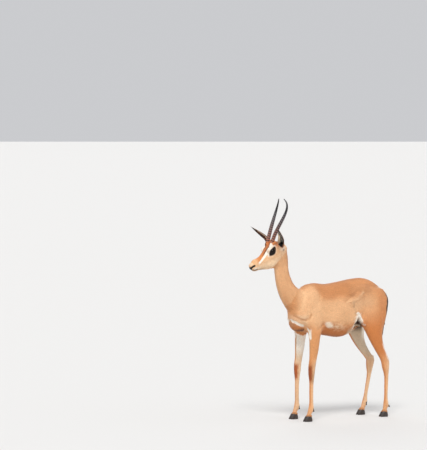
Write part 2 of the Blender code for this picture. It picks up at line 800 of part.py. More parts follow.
def centre(pieces):
    """Puts the origin on the floor, under the middle of the whole animal."""
    corners = np.array([corner.co for piece in pieces for corner in piece.data.vertices])
    low, high = corners.min(axis=0), corners.max(axis=0)
    middle = (low + high) / 2
    for piece in pieces:
        piece.data.transform(Matrix.Translation((-middle[0], -middle[1], -low[2])))


def build():
    coat = material("coat", (0.62, 0.36, 0.17), 0.85)
    horn_finish = material("horn_sheath", (0.09, 0.06, 0.045), 0.45)
    hoof_finish = material("hoof_horn", (0.05, 0.04, 0.035), 0.4)
    eye_finish = material("eye_glass", (0.02, 0.012, 0.008), 0.06)

    body = body_form()
    extras = [tail_form(), *tuft_locks()]
    feet = {"front_left": -0.2435, "front_right": -0.2435, "hind_left": 0.297, "hind_right": 0.238}
    for name, foot_x in feet.items():
        side = -1.0 if name.endswith("left") else 1.0
        extras.extend([*hoof(foot_x, side), *dewclaws(foot_x, side)])
    united(body, extras)

    blades = [
        blade_of_head(),
        blade(Vector((-0.262, -0.13, 0.850)), Vector((0, 0.26, 0)), Vector((-0.122, 0, -0.215))),
        square_blade(Vector((0.3605, 0, 0.735)), Vector((0.30, 0, -1)), Vector((1, 0, 0)), 0.036, 0.06),
        square_blade(Vector((0.345, 0, 0.553)), Vector((0, 0, 1)), Vector((1, 0, 0)), 0.04, 0.05),
    ]
    wanted = {
        "neck": Vector((-0.38, 0, 0.86)),
        "torso": Vector((-0.10, 0, 0.66)),
        "tail": Vector((0.361, 0, 0.66)),
        "tail_tuft": Vector((0.341, 0, 0.535)),
    }
    for name, side in SIDES:
        armpit = Vector((-0.300, side * 0.012, 0.464))
        blades.append(blade(armpit, Vector((0.185, 0, 0)), Vector((0, side * 0.128, 0.125))))
        blades.extend(thigh_blades(side, OFF_HIND_REACH if name == "right" else 0.0))
        knee = Vector((-0.226, side * TRACK / 2, 0.352))
        blades.append(square_blade(knee, Vector((0, 0, 1)), Vector((1, 0, 0)), 0.09, 0.07))
        hock = Vector((0.277, side * TRACK / 2, 0.388))
        blades.append(square_blade(hock, Vector((-0.45, 0, 1)), Vector((1, 0, 0)), 0.12, 0.07))
        front = feet["front_" + name]
        hind = feet["hind_" + name]
        for foot_x in (front, hind):
            coronet = Vector((foot_x + 0.004, side * TRACK / 2, 0.0265))
            blades.append(square_blade(coronet, Vector((0.22, 0, 1)), Vector((1, 0, 0)), 0.075, 0.06))
        wanted["foreleg_upper_" + name] = Vector((-0.212, side * 0.080, 0.45))
        wanted["foreleg_lower_" + name] = Vector((-0.227, side * TRACK / 2, 0.20))
        wanted["hind_leg_upper_" + name] = Vector((0.225, side * 0.078, 0.50))
        wanted["hind_leg_lower_" + name] = Vector((0.297, side * TRACK / 2, 0.30))
        wanted["hoof_front_" + name] = Vector((front - 0.008, side * (TRACK / 2 + 0.011), 0.010))
        wanted["hoof_hind_" + name] = Vector((hind - 0.008, side * (TRACK / 2 + 0.011), 0.010))
    nodes = parted(body, blades, wanted)

    pieces = [skull(), neck(), *head_swellings()]
    head = blended(pieces, HEAD_VOXEL, HEAD_EASING, soft_on_head, HEAD_TRIANGLES)
    upper = []
    for name, side in SIDES:
        upper.extend([horn(side), ear(side), ear_plug(side)])
    united(head, upper)
    blades = [blade_of_head()]
    wanted = {"head": NOSE + HEAD_BACK * 0.12}
    for name, side in SIDES:
        root, way, opening, _ = ear_frame(side)
        blades.append(square_blade(root + way * 0.020, way, Vector((0, 0, 1)), 0.056, 0.056))
        base = bezier(horn_curve(side), 0.0)
        lean = (bezier(horn_curve(side), 0.1) - base).normalized()
        blades.append(square_blade(base + lean * 0.041, lean, Vector((1, 0, 0)), 0.044, 0.038))
        wanted["ear_" + name] = root + way * 0.026 + opening * 0.001
        wanted["horn_" + name] = bezier(horn_curve(side), 0.4)
    cut_away(head, [mouth_groove(), *nostrils(), eye_socket(-1.0), eye_socket(1.0)])
    nodes.update(parted(head, blades, wanted))
    for name, side in SIDES:
        nodes["eye_" + name] = eyeball(side)
        nodes["eye_" + name].name = "eye_" + name

    for name, piece in nodes.items():
        if name.startswith("horn"):
            finish(piece, horn_finish)
        elif name.startswith("hoof"):
            finish(piece, hoof_finish)
        elif name.startswith("eye"):
            finish(piece, eye_finish)
        else:
            finish(piece, coat)
    centre(nodes.values())


build()
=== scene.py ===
# %% [markdown]
# A gazelle doe, standing. The solids give her true outline, life size. This lesson dresses them: one
# smooth skin in place of the parted pieces of flesh, short hair over it, and horns, hooves and eyes that
# are modelled on their own. Everything is in metres, and she faces along -X with her left side at -Y.

# %% Load the frame
import math
import bpy
import numpy as np
from mathutils import Matrix, Vector, noise


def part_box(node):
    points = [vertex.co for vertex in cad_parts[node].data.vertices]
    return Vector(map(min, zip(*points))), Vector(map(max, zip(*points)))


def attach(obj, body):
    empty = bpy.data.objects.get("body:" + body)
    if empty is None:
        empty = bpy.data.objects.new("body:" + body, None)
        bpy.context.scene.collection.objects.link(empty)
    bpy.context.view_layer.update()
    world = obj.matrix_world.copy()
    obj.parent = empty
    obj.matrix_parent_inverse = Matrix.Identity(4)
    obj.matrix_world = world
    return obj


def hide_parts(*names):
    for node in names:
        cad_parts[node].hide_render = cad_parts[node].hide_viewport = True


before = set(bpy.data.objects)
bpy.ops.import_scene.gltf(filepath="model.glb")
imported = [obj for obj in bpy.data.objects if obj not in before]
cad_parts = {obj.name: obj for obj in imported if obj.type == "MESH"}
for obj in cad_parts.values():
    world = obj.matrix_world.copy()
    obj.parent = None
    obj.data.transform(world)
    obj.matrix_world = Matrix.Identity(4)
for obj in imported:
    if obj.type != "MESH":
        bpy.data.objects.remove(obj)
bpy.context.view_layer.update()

# %% [markdown]
# Markings, folds and hair all need places on the body. A body is easiest to describe from a few landmarks,
# so the head gets its own three ways: back along its axis, up from it, and across. The eyes are the
# surest landmark, as both are round and their middles are known exactly.

# %% Landmarks
HEAD_PITCH = math.radians(27.0)
BACK = Vector((math.cos(HEAD_PITCH), 0.0, math.sin(HEAD_PITCH)))
UP = Vector((-math.sin(HEAD_PITCH), 0.0, math.cos(HEAD_PITCH)))
EYE_BACK = 0.163
EYE_RISE = 0.020
EYE_OUT = 0.0385
EYE_RADIUS = 0.0165
SIDES = (("left", -1.0), ("right", 1.0))


def middle(node):
    low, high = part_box(node)
    return (Vector(low) + Vector(high)) / 2


between_eyes = (middle("eye_left") + middle("eye_right")) / 2
NOSE = between_eyes - BACK * EYE_BACK - UP * EYE_RISE
MIDLINE = NOSE.y
NOSE_AHEAD = 0.605  # how far the nose lies before the point on the floor that places are measured from
SHIFT = Vector((NOSE.x + NOSE_AHEAD, NOSE.y, 0.0))


def head_place(back, rise, across):
    return NOSE + BACK * back + UP * rise + Vector((0.0, across, 0.0))


def body_place(x, y, z):
    """A place measured from a point on the floor under her midline: x goes back, y to her right, z up."""
    return Vector((x, y, z)) + SHIFT


print("nose at", [round(v, 4) for v in NOSE], "shift", [round(v, 4) for v in SHIFT])

# %% [markdown]
# The camera stands 15 m off, a little above her back, with a long lens, so that near and far feet are
# almost the same size. It comes first, because every later choice is judged through it.

# %% Camera
CAMERA_TURN = math.radians(-33.0)  # from square to her left side towards her head
CAMERA_AWAY = 15.0
CAMERA_HEIGHT = 1.67
IMAGE_WIDTH, IMAGE_HEIGHT = 427, 450
FOCAL_PIXELS = 2500.0
REFERENCE_COLUMN = 336.0  # where the point that places are measured from falls in the image
HORIZON_ROW = 140.0
SENSOR = 36.0

toward = Vector((math.sin(CAMERA_TURN), -math.cos(CAMERA_TURN), 0.0))
rightward = Vector((math.cos(CAMERA_TURN), math.sin(CAMERA_TURN), 0.0))
yaw = math.atan((REFERENCE_COLUMN - IMAGE_WIDTH / 2) / FOCAL_PIXELS)
pitch = math.atan((IMAGE_HEIGHT / 2 - HORIZON_ROW) / FOCAL_PIXELS)
level = -toward * math.cos(yaw) - rightward * math.sin(yaw)
gaze = level * math.cos(pitch) - Vector((0, 0, 1)) * math.sin(pitch)

camera = bpy.data.objects.new("camera", bpy.data.cameras.new("camera"))
bpy.context.scene.collection.objects.link(camera)
camera.data.lens = FOCAL_PIXELS / IMAGE_HEIGHT * SENSOR
camera.data.sensor_width = SENSOR
camera.data.clip_end = 4000.0
camera.location = SHIFT + toward * CAMERA_AWAY + Vector((0, 0, CAMERA_HEIGHT))
camera.rotation_euler = gaze.to_track_quat("-Z", "Y").to_euler()
bpy.context.scene.camera = camera
print("camera at", [round(v, 2) for v in camera.location], "lens", camera.data.lens)

# %% [markdown]
# Skin. The solids come as parted pieces with hairline gaps. A voxel remesh of all the flesh together
# closes the gaps and gives one even surface, which is then eased.

# %% One skin from the pieces of flesh
FLESH = [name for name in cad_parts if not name.startswith(("eye", "horn", "hoof", "tail_tuft"))]
SKIN_GRAIN = 0.0018  # the side of a voxel


def only(*objects):
    bpy.ops.object.select_all(action="DESELECT")
    for one in objects:
        one.select_set(True)
    bpy.context.view_layer.objects.active = objects[0]


def apply_modifier(piece, kind, **settings):
    only(piece)
    modifier = piece.modifiers.new(kind, kind)
    for setting, value in settings.items():
        setattr(modifier, setting, value)
    bpy.ops.object.modifier_apply(modifier=modifier.name)


def places(piece):
    flat = np.empty(len(piece.data.vertices) * 3)
    piece.data.vertices.foreach_get("co", flat)
    return flat.reshape(-1, 3)


def normals_of(piece):
    flat = np.empty(len(piece.data.vertices) * 3)
    piece.data.vertex_normals.foreach_get("vector", flat)
    return flat.reshape(-1, 3)


def move_to(piece, points):
    piece.data.vertices.foreach_set("co", np.ascontiguousarray(points, dtype=np.float32).ravel())
    piece.data.update()


copies = []
for name in FLESH:
    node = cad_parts[name]
    copy = node.copy()
    copy.data = node.data.copy()
    copy.parent = None
    copy.matrix_world = Matrix.Identity(4)
    bpy.context.scene.collection.objects.link(copy)
    copies.append(copy)
only(*copies)
bpy.ops.object.join()
skin = bpy.context.object
skin.name = "skin"
bpy.ops.object.mode_set(mode="EDIT")
bpy.ops.mesh.select_all(action="SELECT")
bpy.ops.mesh.remove_doubles(threshold=0.00002)
bpy.ops.object.mode_set(mode="OBJECT")
apply_modifier(skin, "REMESH", mode="VOXEL", voxel_size=SKIN_GRAIN, adaptivity=0.0)
apply_modifier(skin, "SMOOTH", factor=0.5, iterations=4)
print("the even skin has", len(skin.data.polygons), "faces")

# %% [markdown]
# Most of her is broad and plain, so the body is eased further and then thinned to far fewer points. The
# fine grid is kept for the head, where the small forms are.

# %% Ease the body, and thin it
HEAD_LINE = (0.93, -0.30, 0.885)  # above the first height, or before this x and above this height
BODY_KEPT = 0.085  # the share of the body's triangles that thinning leaves
points = places(skin) - np.array(SHIFT)
on_head = (points[:, 2] > HEAD_LINE[0]) | ((points[:, 0] < HEAD_LINE[1]) & (points[:, 2] > HEAD_LINE[2]))
group = skin.vertex_groups.new(name="body")
group.add([int(i) for i in np.nonzero(~on_head)[0]], 1.0, "REPLACE")
apply_modifier(skin, "SMOOTH", factor=0.5, iterations=14, vertex_group="body")
only(skin)
bpy.ops.object.mode_set(mode="EDIT")
bpy.ops.mesh.select_mode(type="VERT")
bpy.ops.mesh.select_all(action="DESELECT")
bpy.ops.object.mode_set(mode="OBJECT")
skin.data.vertices.foreach_set("select", ~on_head)
bpy.ops.object.mode_set(mode="EDIT")
bpy.ops.mesh.decimate(ratio=BODY_KEPT)
bpy.ops.object.mode_set(mode="OBJECT")
skin.vertex_groups.clear()
apply_modifier(skin, "TRIANGULATE")
skin.data.materials.clear()
print("the skin has", len(skin.data.polygons), "triangles")

# %% [markdown]
# Where is a place on the body? Folds, markings and the lie of the hair all ask that question, so one
# function answers it for many points at once. The planes are those along which the solids are parted.

# %% Parts of the body
PARTS = ("torso", "neck", "head", "ear_left", "ear_right", "fore_left", "fore_right", "hind_left",
         "hind_right", "tail")
TORSO, NECK, HEAD, EAR_LEFT = range(4)
FORE_LEFT, FORE_RIGHT, HIND_LEFT, HIND_RIGHT, TAIL = range(5, 10)
FEET = {"front_left": (-0.2435, -1.0), "front_right": (-0.2435, 1.0), "hind_left": (0.297, -1.0),
        "hind_right": (0.238, 1.0)}
TRACK = 0.160  # from the left feet across to the right ones
HORN_ROOT_RADIUS = 0.0114
HORN_HANDLES = ((-0.4690, 0.0240, 1.0470), (-0.4420, 0.0270, 1.1700), (-0.3510, 0.0930, 1.2650),
                (-0.3850, 0.0290, 1.3210))
EAR_TIPS = {"left": (-0.508, -0.161, 1.143), "right": (-0.5185, 0.153, 1.158)}


def ear_axis(name, side):
    root = head_place(0.232, 0.018, side * 0.046)
    tip = Vector(EAR_TIPS[name]) + SHIFT
    way = (tip - root).normalized()
    opening = Vector((-0.90, side * 0.42, 0.05))
    opening = (opening - way * opening.dot(way)).normalized()
    return root, way, opening, (tip - root).length


def horn_middles(side, steps=200):
    """Places along the middle of a horn, on a curve drawn by four handles."""
    a, b, c, d = (body_place(x, side * y, z) for x, y, z in HORN_HANDLES)
    made = []
    for i in range(steps + 1):
        share = i / steps
        rest = 1 - share
        toward_root = a * rest ** 3 + b * (3 * rest ** 2 * share)
        made.append(toward_root + c * (3 * rest * share ** 2) + d * share ** 3)
    return made


def in_body(points):
    """The columns x, y and z of points, measured as body_place measures."""
    moved = points - np.array(SHIFT)
    return moved[:, 0], moved[:, 1], moved[:, 2]


def in_head(points):
    """How far back, up and across points are in the head's own ways."""
    away = points - np.array(NOSE)
    return away @ np.array(BACK), away @ np.array(UP), away[:, 1]


def past_neck(x, z):
    """How far a place lies on the head's side of the plane where head and neck meet."""
    return (-0.159 * (x + 0.318) + 0.154 * (z - 1.0645)) / 0.221


def part_of(points):
    """Each point's index in PARTS."""
    x, y, z = in_body(points)
    side = np.abs(y)
    part = np.zeros(len(points), dtype=int)
    before_neck = -0.215 * (x + 0.262) + 0.122 * (z - 0.850) > 0
    part[before_neck] = NECK
    part[past_neck(x, z) > 0] = HEAD
    fore = (x > -0.31) & (x < -0.112) & (z < 0.464 + (side - 0.012) * 0.977) & ~before_neck
    outward = (side - 0.006) / 0.132
    down = np.minimum((0.538 + 0.150 * outward - z) / 0.120, 1.5)
    hind = (z < 0.538 + 0.150 * outward) & (x > 0.139 - 0.0625 * outward + 0.05 * down - 0.03 * (y > 0))
    part[fore & (y < 0)] = FORE_LEFT
    part[fore & (y >= 0)] = FORE_RIGHT
    part[hind & (y < 0)] = HIND_LEFT
    part[hind & (y >= 0)] = HIND_RIGHT
    tail = (side < 0.022) & (z > 0.50) & (z < 0.745) & (x > 0.3475 + 0.10 * np.maximum(0.0, 0.62 - z) - 0.03)
    tail &= x > 0.344 - 0.30 * np.maximum(0.0, 0.66 - z)
    part[tail & ~hind | (tail & (side < 0.016) & (x > 0.318))] = TAIL
    for index, (name, turn) in enumerate(SIDES, EAR_LEFT):
        root, way, _, _ = ear_axis(name, turn)
        away = points - np.array(root)
        along = away @ np.array(way)
        off = np.linalg.norm(away - np.outer(along, np.array(way)), axis=1)
        part[(along > 0.016) & (off < 0.026 + 0.5 * np.clip(along - 0.016, 0.0, 0.040))] = index
    return part


part = part_of(places(skin))
print({name: int((part == i).sum()) for i, name in enumerate(PARTS)})

# %% [markdown]
# Folds. A sculptor would press a crease with a thumb along a line. Here a line is a few places on the
# body, and every point of the skin near it is pushed in or raised by a bell-shaped amount. The finest
# lines are on the head: the mouth, the slit before each eye, the folds over the lids.

# %% Press a line into the skin


def step(low, high, value):
    """0 below low, 1 above high, and an even curve between them."""
    share = np.clip((value - low) / (high - low), 0, 1)
    return share * share * (3 - 2 * share)


def near(value, centre, half, soft):
    """1 where value is within half of centre, falling to 0 over soft."""
    return 1 - step(half, half + soft, np.abs(value - centre))


def along_line(points, line):
    """The distance from each point to a line of places."""
    nearest = np.full(len(points), 9.0)
    for start, end in zip(line, line[1:]):
        start, end = np.array(start), np.array(end)
        run = end - start
        share = np.clip(((points - start) @ run) / max(run @ run, 1e-12), 0, 1)
        nearest = np.minimum(nearest, np.linalg.norm(points - start - np.outer(share, run), axis=1))
    return nearest


def press(points, outward, line, width, depth):
    """Moves points against outward by depth on the line, and by less beside it; a negative depth raises."""
    return points - outward * (depth * np.exp(-(along_line(points, line) / width) ** 2))[:, None]


def mouth_line(side):
    line = []
    for i in range(12):
        angle = math.pi / 2 * i / 11
        back = 0.060 - 0.062 * math.cos(angle) ** 0.75
        across = side * 0.0225 * math.sin(angle) ** 0.8
        rise = -0.0205 - 0.0135 * (max(back, 0.0) / 0.060) ** 1.2
        line.append(head_place(back, rise, across))
    return line


def arc_over_eye(side, start, end, height, bow, out):
    """A line over or under an eye: from a place before it to one behind it, bowed up or down."""
    line = []
    for i in range(9):
        share = i / 8
        back = start + (end - start) * share
        rise = height + bow * math.sin(math.pi * share) + 0.50 * (back - EYE_BACK)
        line.append(head_place(back, rise, side * out))
    return line


# %% Press the lines of the face
# Each line is given as places back, up and across, then its width and its depth.
FACE_LINES = {
    "slit before the eye": (((0.146, 0.0035, 0.040), (0.128, -0.0065, 0.034)), 0.0024, 0.0022),
    "cheek bone": (((0.190, 0.000, 0.046), (0.140, -0.012, 0.037), (0.095, -0.014, 0.027)), 0.0065, -0.0014),
    "jaw": (((0.205, -0.030, 0.042), (0.180, -0.070, 0.034), (0.120, -0.070, 0.022)), 0.0090, -0.0012),
    "throat": (((0.215, -0.020, 0.043), (0.200, -0.085, 0.034)), 0.0080, 0.0022),
    "foot of the horn": (((0.170, 0.052, 0.024), (0.184, 0.060, 0.024)), 0.0110, -0.0055),
    "groove under the nose": (((-0.001, -0.004, 0.0), (0.000, -0.020, 0.0)), 0.0014, 0.0010),
}


def on_face(side, *spots):
    """Places on one side of the head, from how far back, up and across they are."""
    return [head_place(back, rise, side * across) for back, rise, across in spots]


points = places(skin)
outward = normals_of(skin)
for _, side in SIDES:
    points = press(points, outward, mouth_line(side), 0.0016, 0.0014)
    eyebrow = arc_over_eye(side, EYE_BACK - 0.020, EYE_BACK + 0.020, EYE_RISE + 0.004, 0.0165, 0.043)
    points = press(points, outward, eyebrow, 0.0020, 0.0012)
    under = arc_over_eye(side, EYE_BACK - 0.022, EYE_BACK + 0.018, EYE_RISE - 0.006, -0.0135, 0.043)
    points = press(points, outward, under, 0.0022, 0.0008)
    for spots, width, depth in FACE_LINES.values():
        points = press(points, outward, on_face(side, *spots), width, depth)
print("pressed", 3 + len(FACE_LINES), "lines on each side of the face")

# %% [markdown]
# The horns are made later and go into the head. Skin that would bulge through a horn's foot is drawn in
# toward the horn's middle first, so that only horn shows there.

# %% Keep the skin out of the horns
CLEAR_OF_HORN = 1.12  # skin within this many root radii of the horn's middle is drawn in
DRAWN_IN = 0.35  # by this share of the way to the middle
for _, side in SIDES:
    spots = np.array([tuple(spot) for spot in horn_middles(side, 100)])
    way = (spots[8] - spots[0]) / np.linalg.norm(spots[8] - spots[0])
    away = points - spots[0]
    along = away @ way
    off = away - np.outer(along, way)
    inside = np.linalg.norm(off, axis=1) < HORN_ROOT_RADIUS * CLEAR_OF_HORN
    inside &= (along > 0.002) & (along < 0.060)
    points[inside] -= off[inside] * DRAWN_IN
print("the skin stays inside the horns' roots")

# %% [markdown]
# On the body the light picks out what lies under the coat: the shoulder's edge, the fold across the chest,
# the hollow before the hip, the crease of the flank, faint ribs, and a deep gap between belly and thigh.
# They were read off the photo and laid on the body, so each is drawn to the nearest place of the skin.

# %% Press the forms of the body
# Lines on one side of the body, each place as x, distance from the midline, and height.
SHOULDER_BLADE = ((-0.190, 0.075, 0.790), (-0.235, 0.090, 0.700), (-0.262, 0.088, 0.640))
SHOULDER_EDGE = ((-0.318, 0.035, 0.628), (-0.304, 0.056, 0.617), (-0.288, 0.074, 0.607),
                 (-0.263, 0.085, 0.603), (-0.246, 0.094, 0.615), (-0.231, 0.095, 0.639))
ABOVE_SHOULDER_EDGE = ((-0.318, 0.045, 0.645), (-0.296, 0.072, 0.628), (-0.268, 0.088, 0.622),
                       (-0.252, 0.094, 0.640))
ELBOW = ((-0.194, 0.109, 0.541), (-0.175, 0.103, 0.558), (-0.146, 0.092, 0.571))
CHEST_FOLD = ((-0.324, 0.014, 0.599), (-0.308, 0.044, 0.587), (-0.283, 0.061, 0.572), (-0.258, 0.072, 0.556),
              (-0.245, 0.081, 0.542), (-0.240, 0.088, 0.526), (-0.235, 0.086, 0.496))
NECK_GROOVE = ((-0.385, 0.042, 0.930), (-0.365, 0.050, 0.830), (-0.330, 0.066, 0.720))
HIP_RIDGE = ((0.059, 0.099, 0.702), (0.089, 0.097, 0.717), (0.121, 0.091, 0.737), (0.140, 0.086, 0.756))
HIP_HOLLOW = ((0.038, 0.098, 0.718), (0.072, 0.094, 0.738), (0.104, 0.087, 0.760))
FLANK_CREASE = ((0.059, 0.099, 0.702), (0.062, 0.104, 0.676), (0.067, 0.108, 0.653), (0.078, 0.108, 0.629))
THIGH_EDGE = ((0.090, 0.107, 0.630), (0.112, 0.100, 0.600), (0.129, 0.100, 0.576), (0.143, 0.098, 0.563))
RUMP_GROOVE = ((0.275, 0.075, 0.700), (0.265, 0.090, 0.620), (0.262, 0.085, 0.540))
BODY_LINES = (  # each line with its width and its depth
    (SHOULDER_BLADE, 0.018, -0.0024), (SHOULDER_EDGE, 0.0105, 0.0040), (ABOVE_SHOULDER_EDGE, 0.0160, -0.0022),
    (ELBOW, 0.0080, 0.0040), (CHEST_FOLD, 0.0065, 0.0038), (NECK_GROOVE, 0.012, 0.0026),
    (HIP_RIDGE, 0.0080, -0.0062), (HIP_HOLLOW, 0.0140, 0.0068), (FLANK_CREASE, 0.0080, 0.0042),
    (THIGH_EDGE, 0.0070, -0.0030), (RUMP_GROOVE, 0.012, 0.0030))
RIBS = 6
FAR_HIND_SWING = 0.060  # about how much further forward the right hind foot stands than the left
RIB_GAP = 0.032
FLANK_GAP_DEPTH = 0.030


def flank_gap(points):
    """1 inside the three-cornered gap between the belly's end and the front of the thigh, 0 outside it."""
    x, y, z = in_body(points)
    before = x - 0.088 - 0.29 * (z - 0.605)
    behind = 0.106 + 0.83 * (0.600 - z) - x
    inside = np.minimum(before, behind)
    return step(0.000, 0.010, inside) * step(0.530, 0.555, z) * step(0.025, 0.060, np.abs(y))


def on_body(side, *spots):
    """The places of the skin nearest to spots on one side of the body."""
    return [skin.closest_point_on_mesh(body_place(x, side * y, z))[1] for x, y, z in spots]


for _, side in SIDES:
    for line, width, depth in BODY_LINES:
        points = press(points, outward, on_body(side, *line), width, depth)
    for rib in range(RIBS):
        at = -0.105 + RIB_GAP * rib
        bone = on_body(side, (at, 0.108, 0.715), (at + 0.012, 0.114, 0.655), (at + 0.004, 0.108, 0.590))
        points = press(points, outward, bone, 0.0085, -0.0006)
    for x in (-0.222, 0.314):
        swing = FAR_HIND_SWING if (side > 0 and x > 0) else 0.0
        tendon = on_body(side, (x - swing * 0.35, 0.096, 0.235), (x - swing * 0.85, 0.096, 0.105))
        points = press(points, outward, tendon, 0.0045, 0.0016)
points[:, 1] -= np.sign(points[:, 1] - MIDLINE) * FLANK_GAP_DEPTH * flank_gap(points)
move_to(skin, points)
print("pressed the forms of the body")

# %% [markdown]
# The solids are the outline of the coat, so the bare skin lies inside them by the depth of the hair:
# almost nothing on the face and feet, about two millimetres on the back.

# %% Sink the skin by the depth of the coat
COAT_DEPTH = {"torso": 0.0017, "neck": 0.0016, "head": 0.0005, "tail": 0.0012,
              "ear_left": 0.0002, "ear_right": 0.0002, "fore_left": 0.0006, "fore_right": 0.0006,
              "hind_left": 0.0009, "hind_right": 0.0009}


def soften(piece, values, rounds):
    """Values at a mesh's points, each round drawn toward those of its neighbours."""
    pairs = np.empty(len(piece.data.edges) * 2, dtype=np.int64)
    piece.data.edges.foreach_get("vertices", pairs)
    first, second = pairs[::2], pairs[1::2]
    count = np.bincount(pairs, minlength=len(values))
    for _ in range(rounds):
        total = np.bincount(first, values[second], len(values))
        total = total + np.bincount(second, values[first], len(values))
        values = 0.5 * values + 0.5 * total / np.maximum(count, 1)
    return values


part = part_of(places(skin))
depth = soften(skin, np.array([COAT_DEPTH[PARTS[i]] for i in part]), 12)
move_to(skin, places(skin) - normals_of(skin) * depth[:, None])
points = places(skin)
for index, (name, turn) in enumerate(SIDES, EAR_LEFT):
    root, way, _, length = ear_axis(name, turn)
    ear = part_of(points) == index
    along = (points[ear] - np.array(root)) @ np.array(way)
    lost = length - along.max()
    grown = lost * np.clip((along - 0.4 * length) / (0.6 * length), 0, 1) ** 2
    points[ear] += np.outer(grown, np.array(way))
    print("ear", name, "gets back", round(lost * 1000, 1), "mm of its tip")
move_to(skin, points)
print("the skin lies", round(depth.min() * 1000, 2), "to", round(depth.max() * 1000, 2), "mm inside the coat")

# %% [markdown]
# Markings. Her coat is tan, paler on the flank and deeper along the back and the nape. The white rump
# has a black line at each side, the legs are pale inside, and a white stripe runs down each side of the
# face beside a chestnut blaze. Each marking is a soft-edged region worked out from places on the body,
# laid over the ones before it. Some regions are no markings but painted shade, painted highlights and
# painted warm light from the ground, and each is said to be so where it is laid. The same function colours
# the skin and the hair, so both always agree.

# %% Colours of the coat


def paint(red, green, blue):
    """A colour as an eye reads it from a screen, made linear."""
    shares = np.array([red, green, blue]) / 255.0
    return np.where(shares <= 0.04045, shares / 12.92, ((shares + 0.055) / 1.055) ** 2.4)


TAN = paint(214, 150, 98)
SADDLE = paint(196, 130, 80)
PALE = paint(233, 186, 140)
ORANGE = paint(203, 122, 62)
CHESTNUT = paint(178, 92, 44)
CREAM = paint(240, 214, 180)
WHITE = paint(248, 238, 224)
BROWN = paint(92, 50, 30)
BLACK = paint(26, 19, 17)
GREY = paint(150, 120, 98)
DARKEST, PALEST = 0.002, 0.95
CLOUDS = (0.060, 3.1)  # the size of a broad variation of tone, and a shift that sets it apart
SPECKS = (0.014, 7.7)  # the same for a fine one
UNEVENNESS = 0.05


def lay(colour, over, weight):
    """Covers the colours at all points with another, from 0 not at all to 1 wholly."""
    colour += (over - colour) * np.clip(weight, 0, 1)[:, None]


def mottle(points, size, seed):
    """An even, cloudy variation between -1 and 1."""
    moved = points / size + seed
    return np.array([noise.noise(Vector(place)) for place in moved])


def stroke(points, line, full, gone, ragged=0.0):
    """1 as far as full from a line, falling to 0 at gone; ragged moves its edge to and fro."""
    return 1 - step(full, gone, along_line(points, line) + ragged)


def blot(*ways):
    """A soft spot: 1 in its middle and falling away along each of the given ways."""
    return np.exp(-sum(way ** 2 for way in ways))


print("ten paints are mixed")

# %% [markdown]
# From here on each region is one line or two: a weight made of soft steps along the body's own ways, and
# the colour that it lays. The order matters, because a later marking covers an earlier one.

# %% Markings of the body
SADDLE_EDGE = ((-0.200, -0.171, -0.146, -0.112, -0.065, -0.024, 0.018, 0.053, 0.080),
               (0.800, 0.765, 0.738, 0.717, 0.719, 0.744, 0.746, 0.726, 0.740))
CROUP_STREAK = ((0.260, 0.045, 0.784), (0.220, 0.050, 0.803), (0.168, 0.076, 0.785))


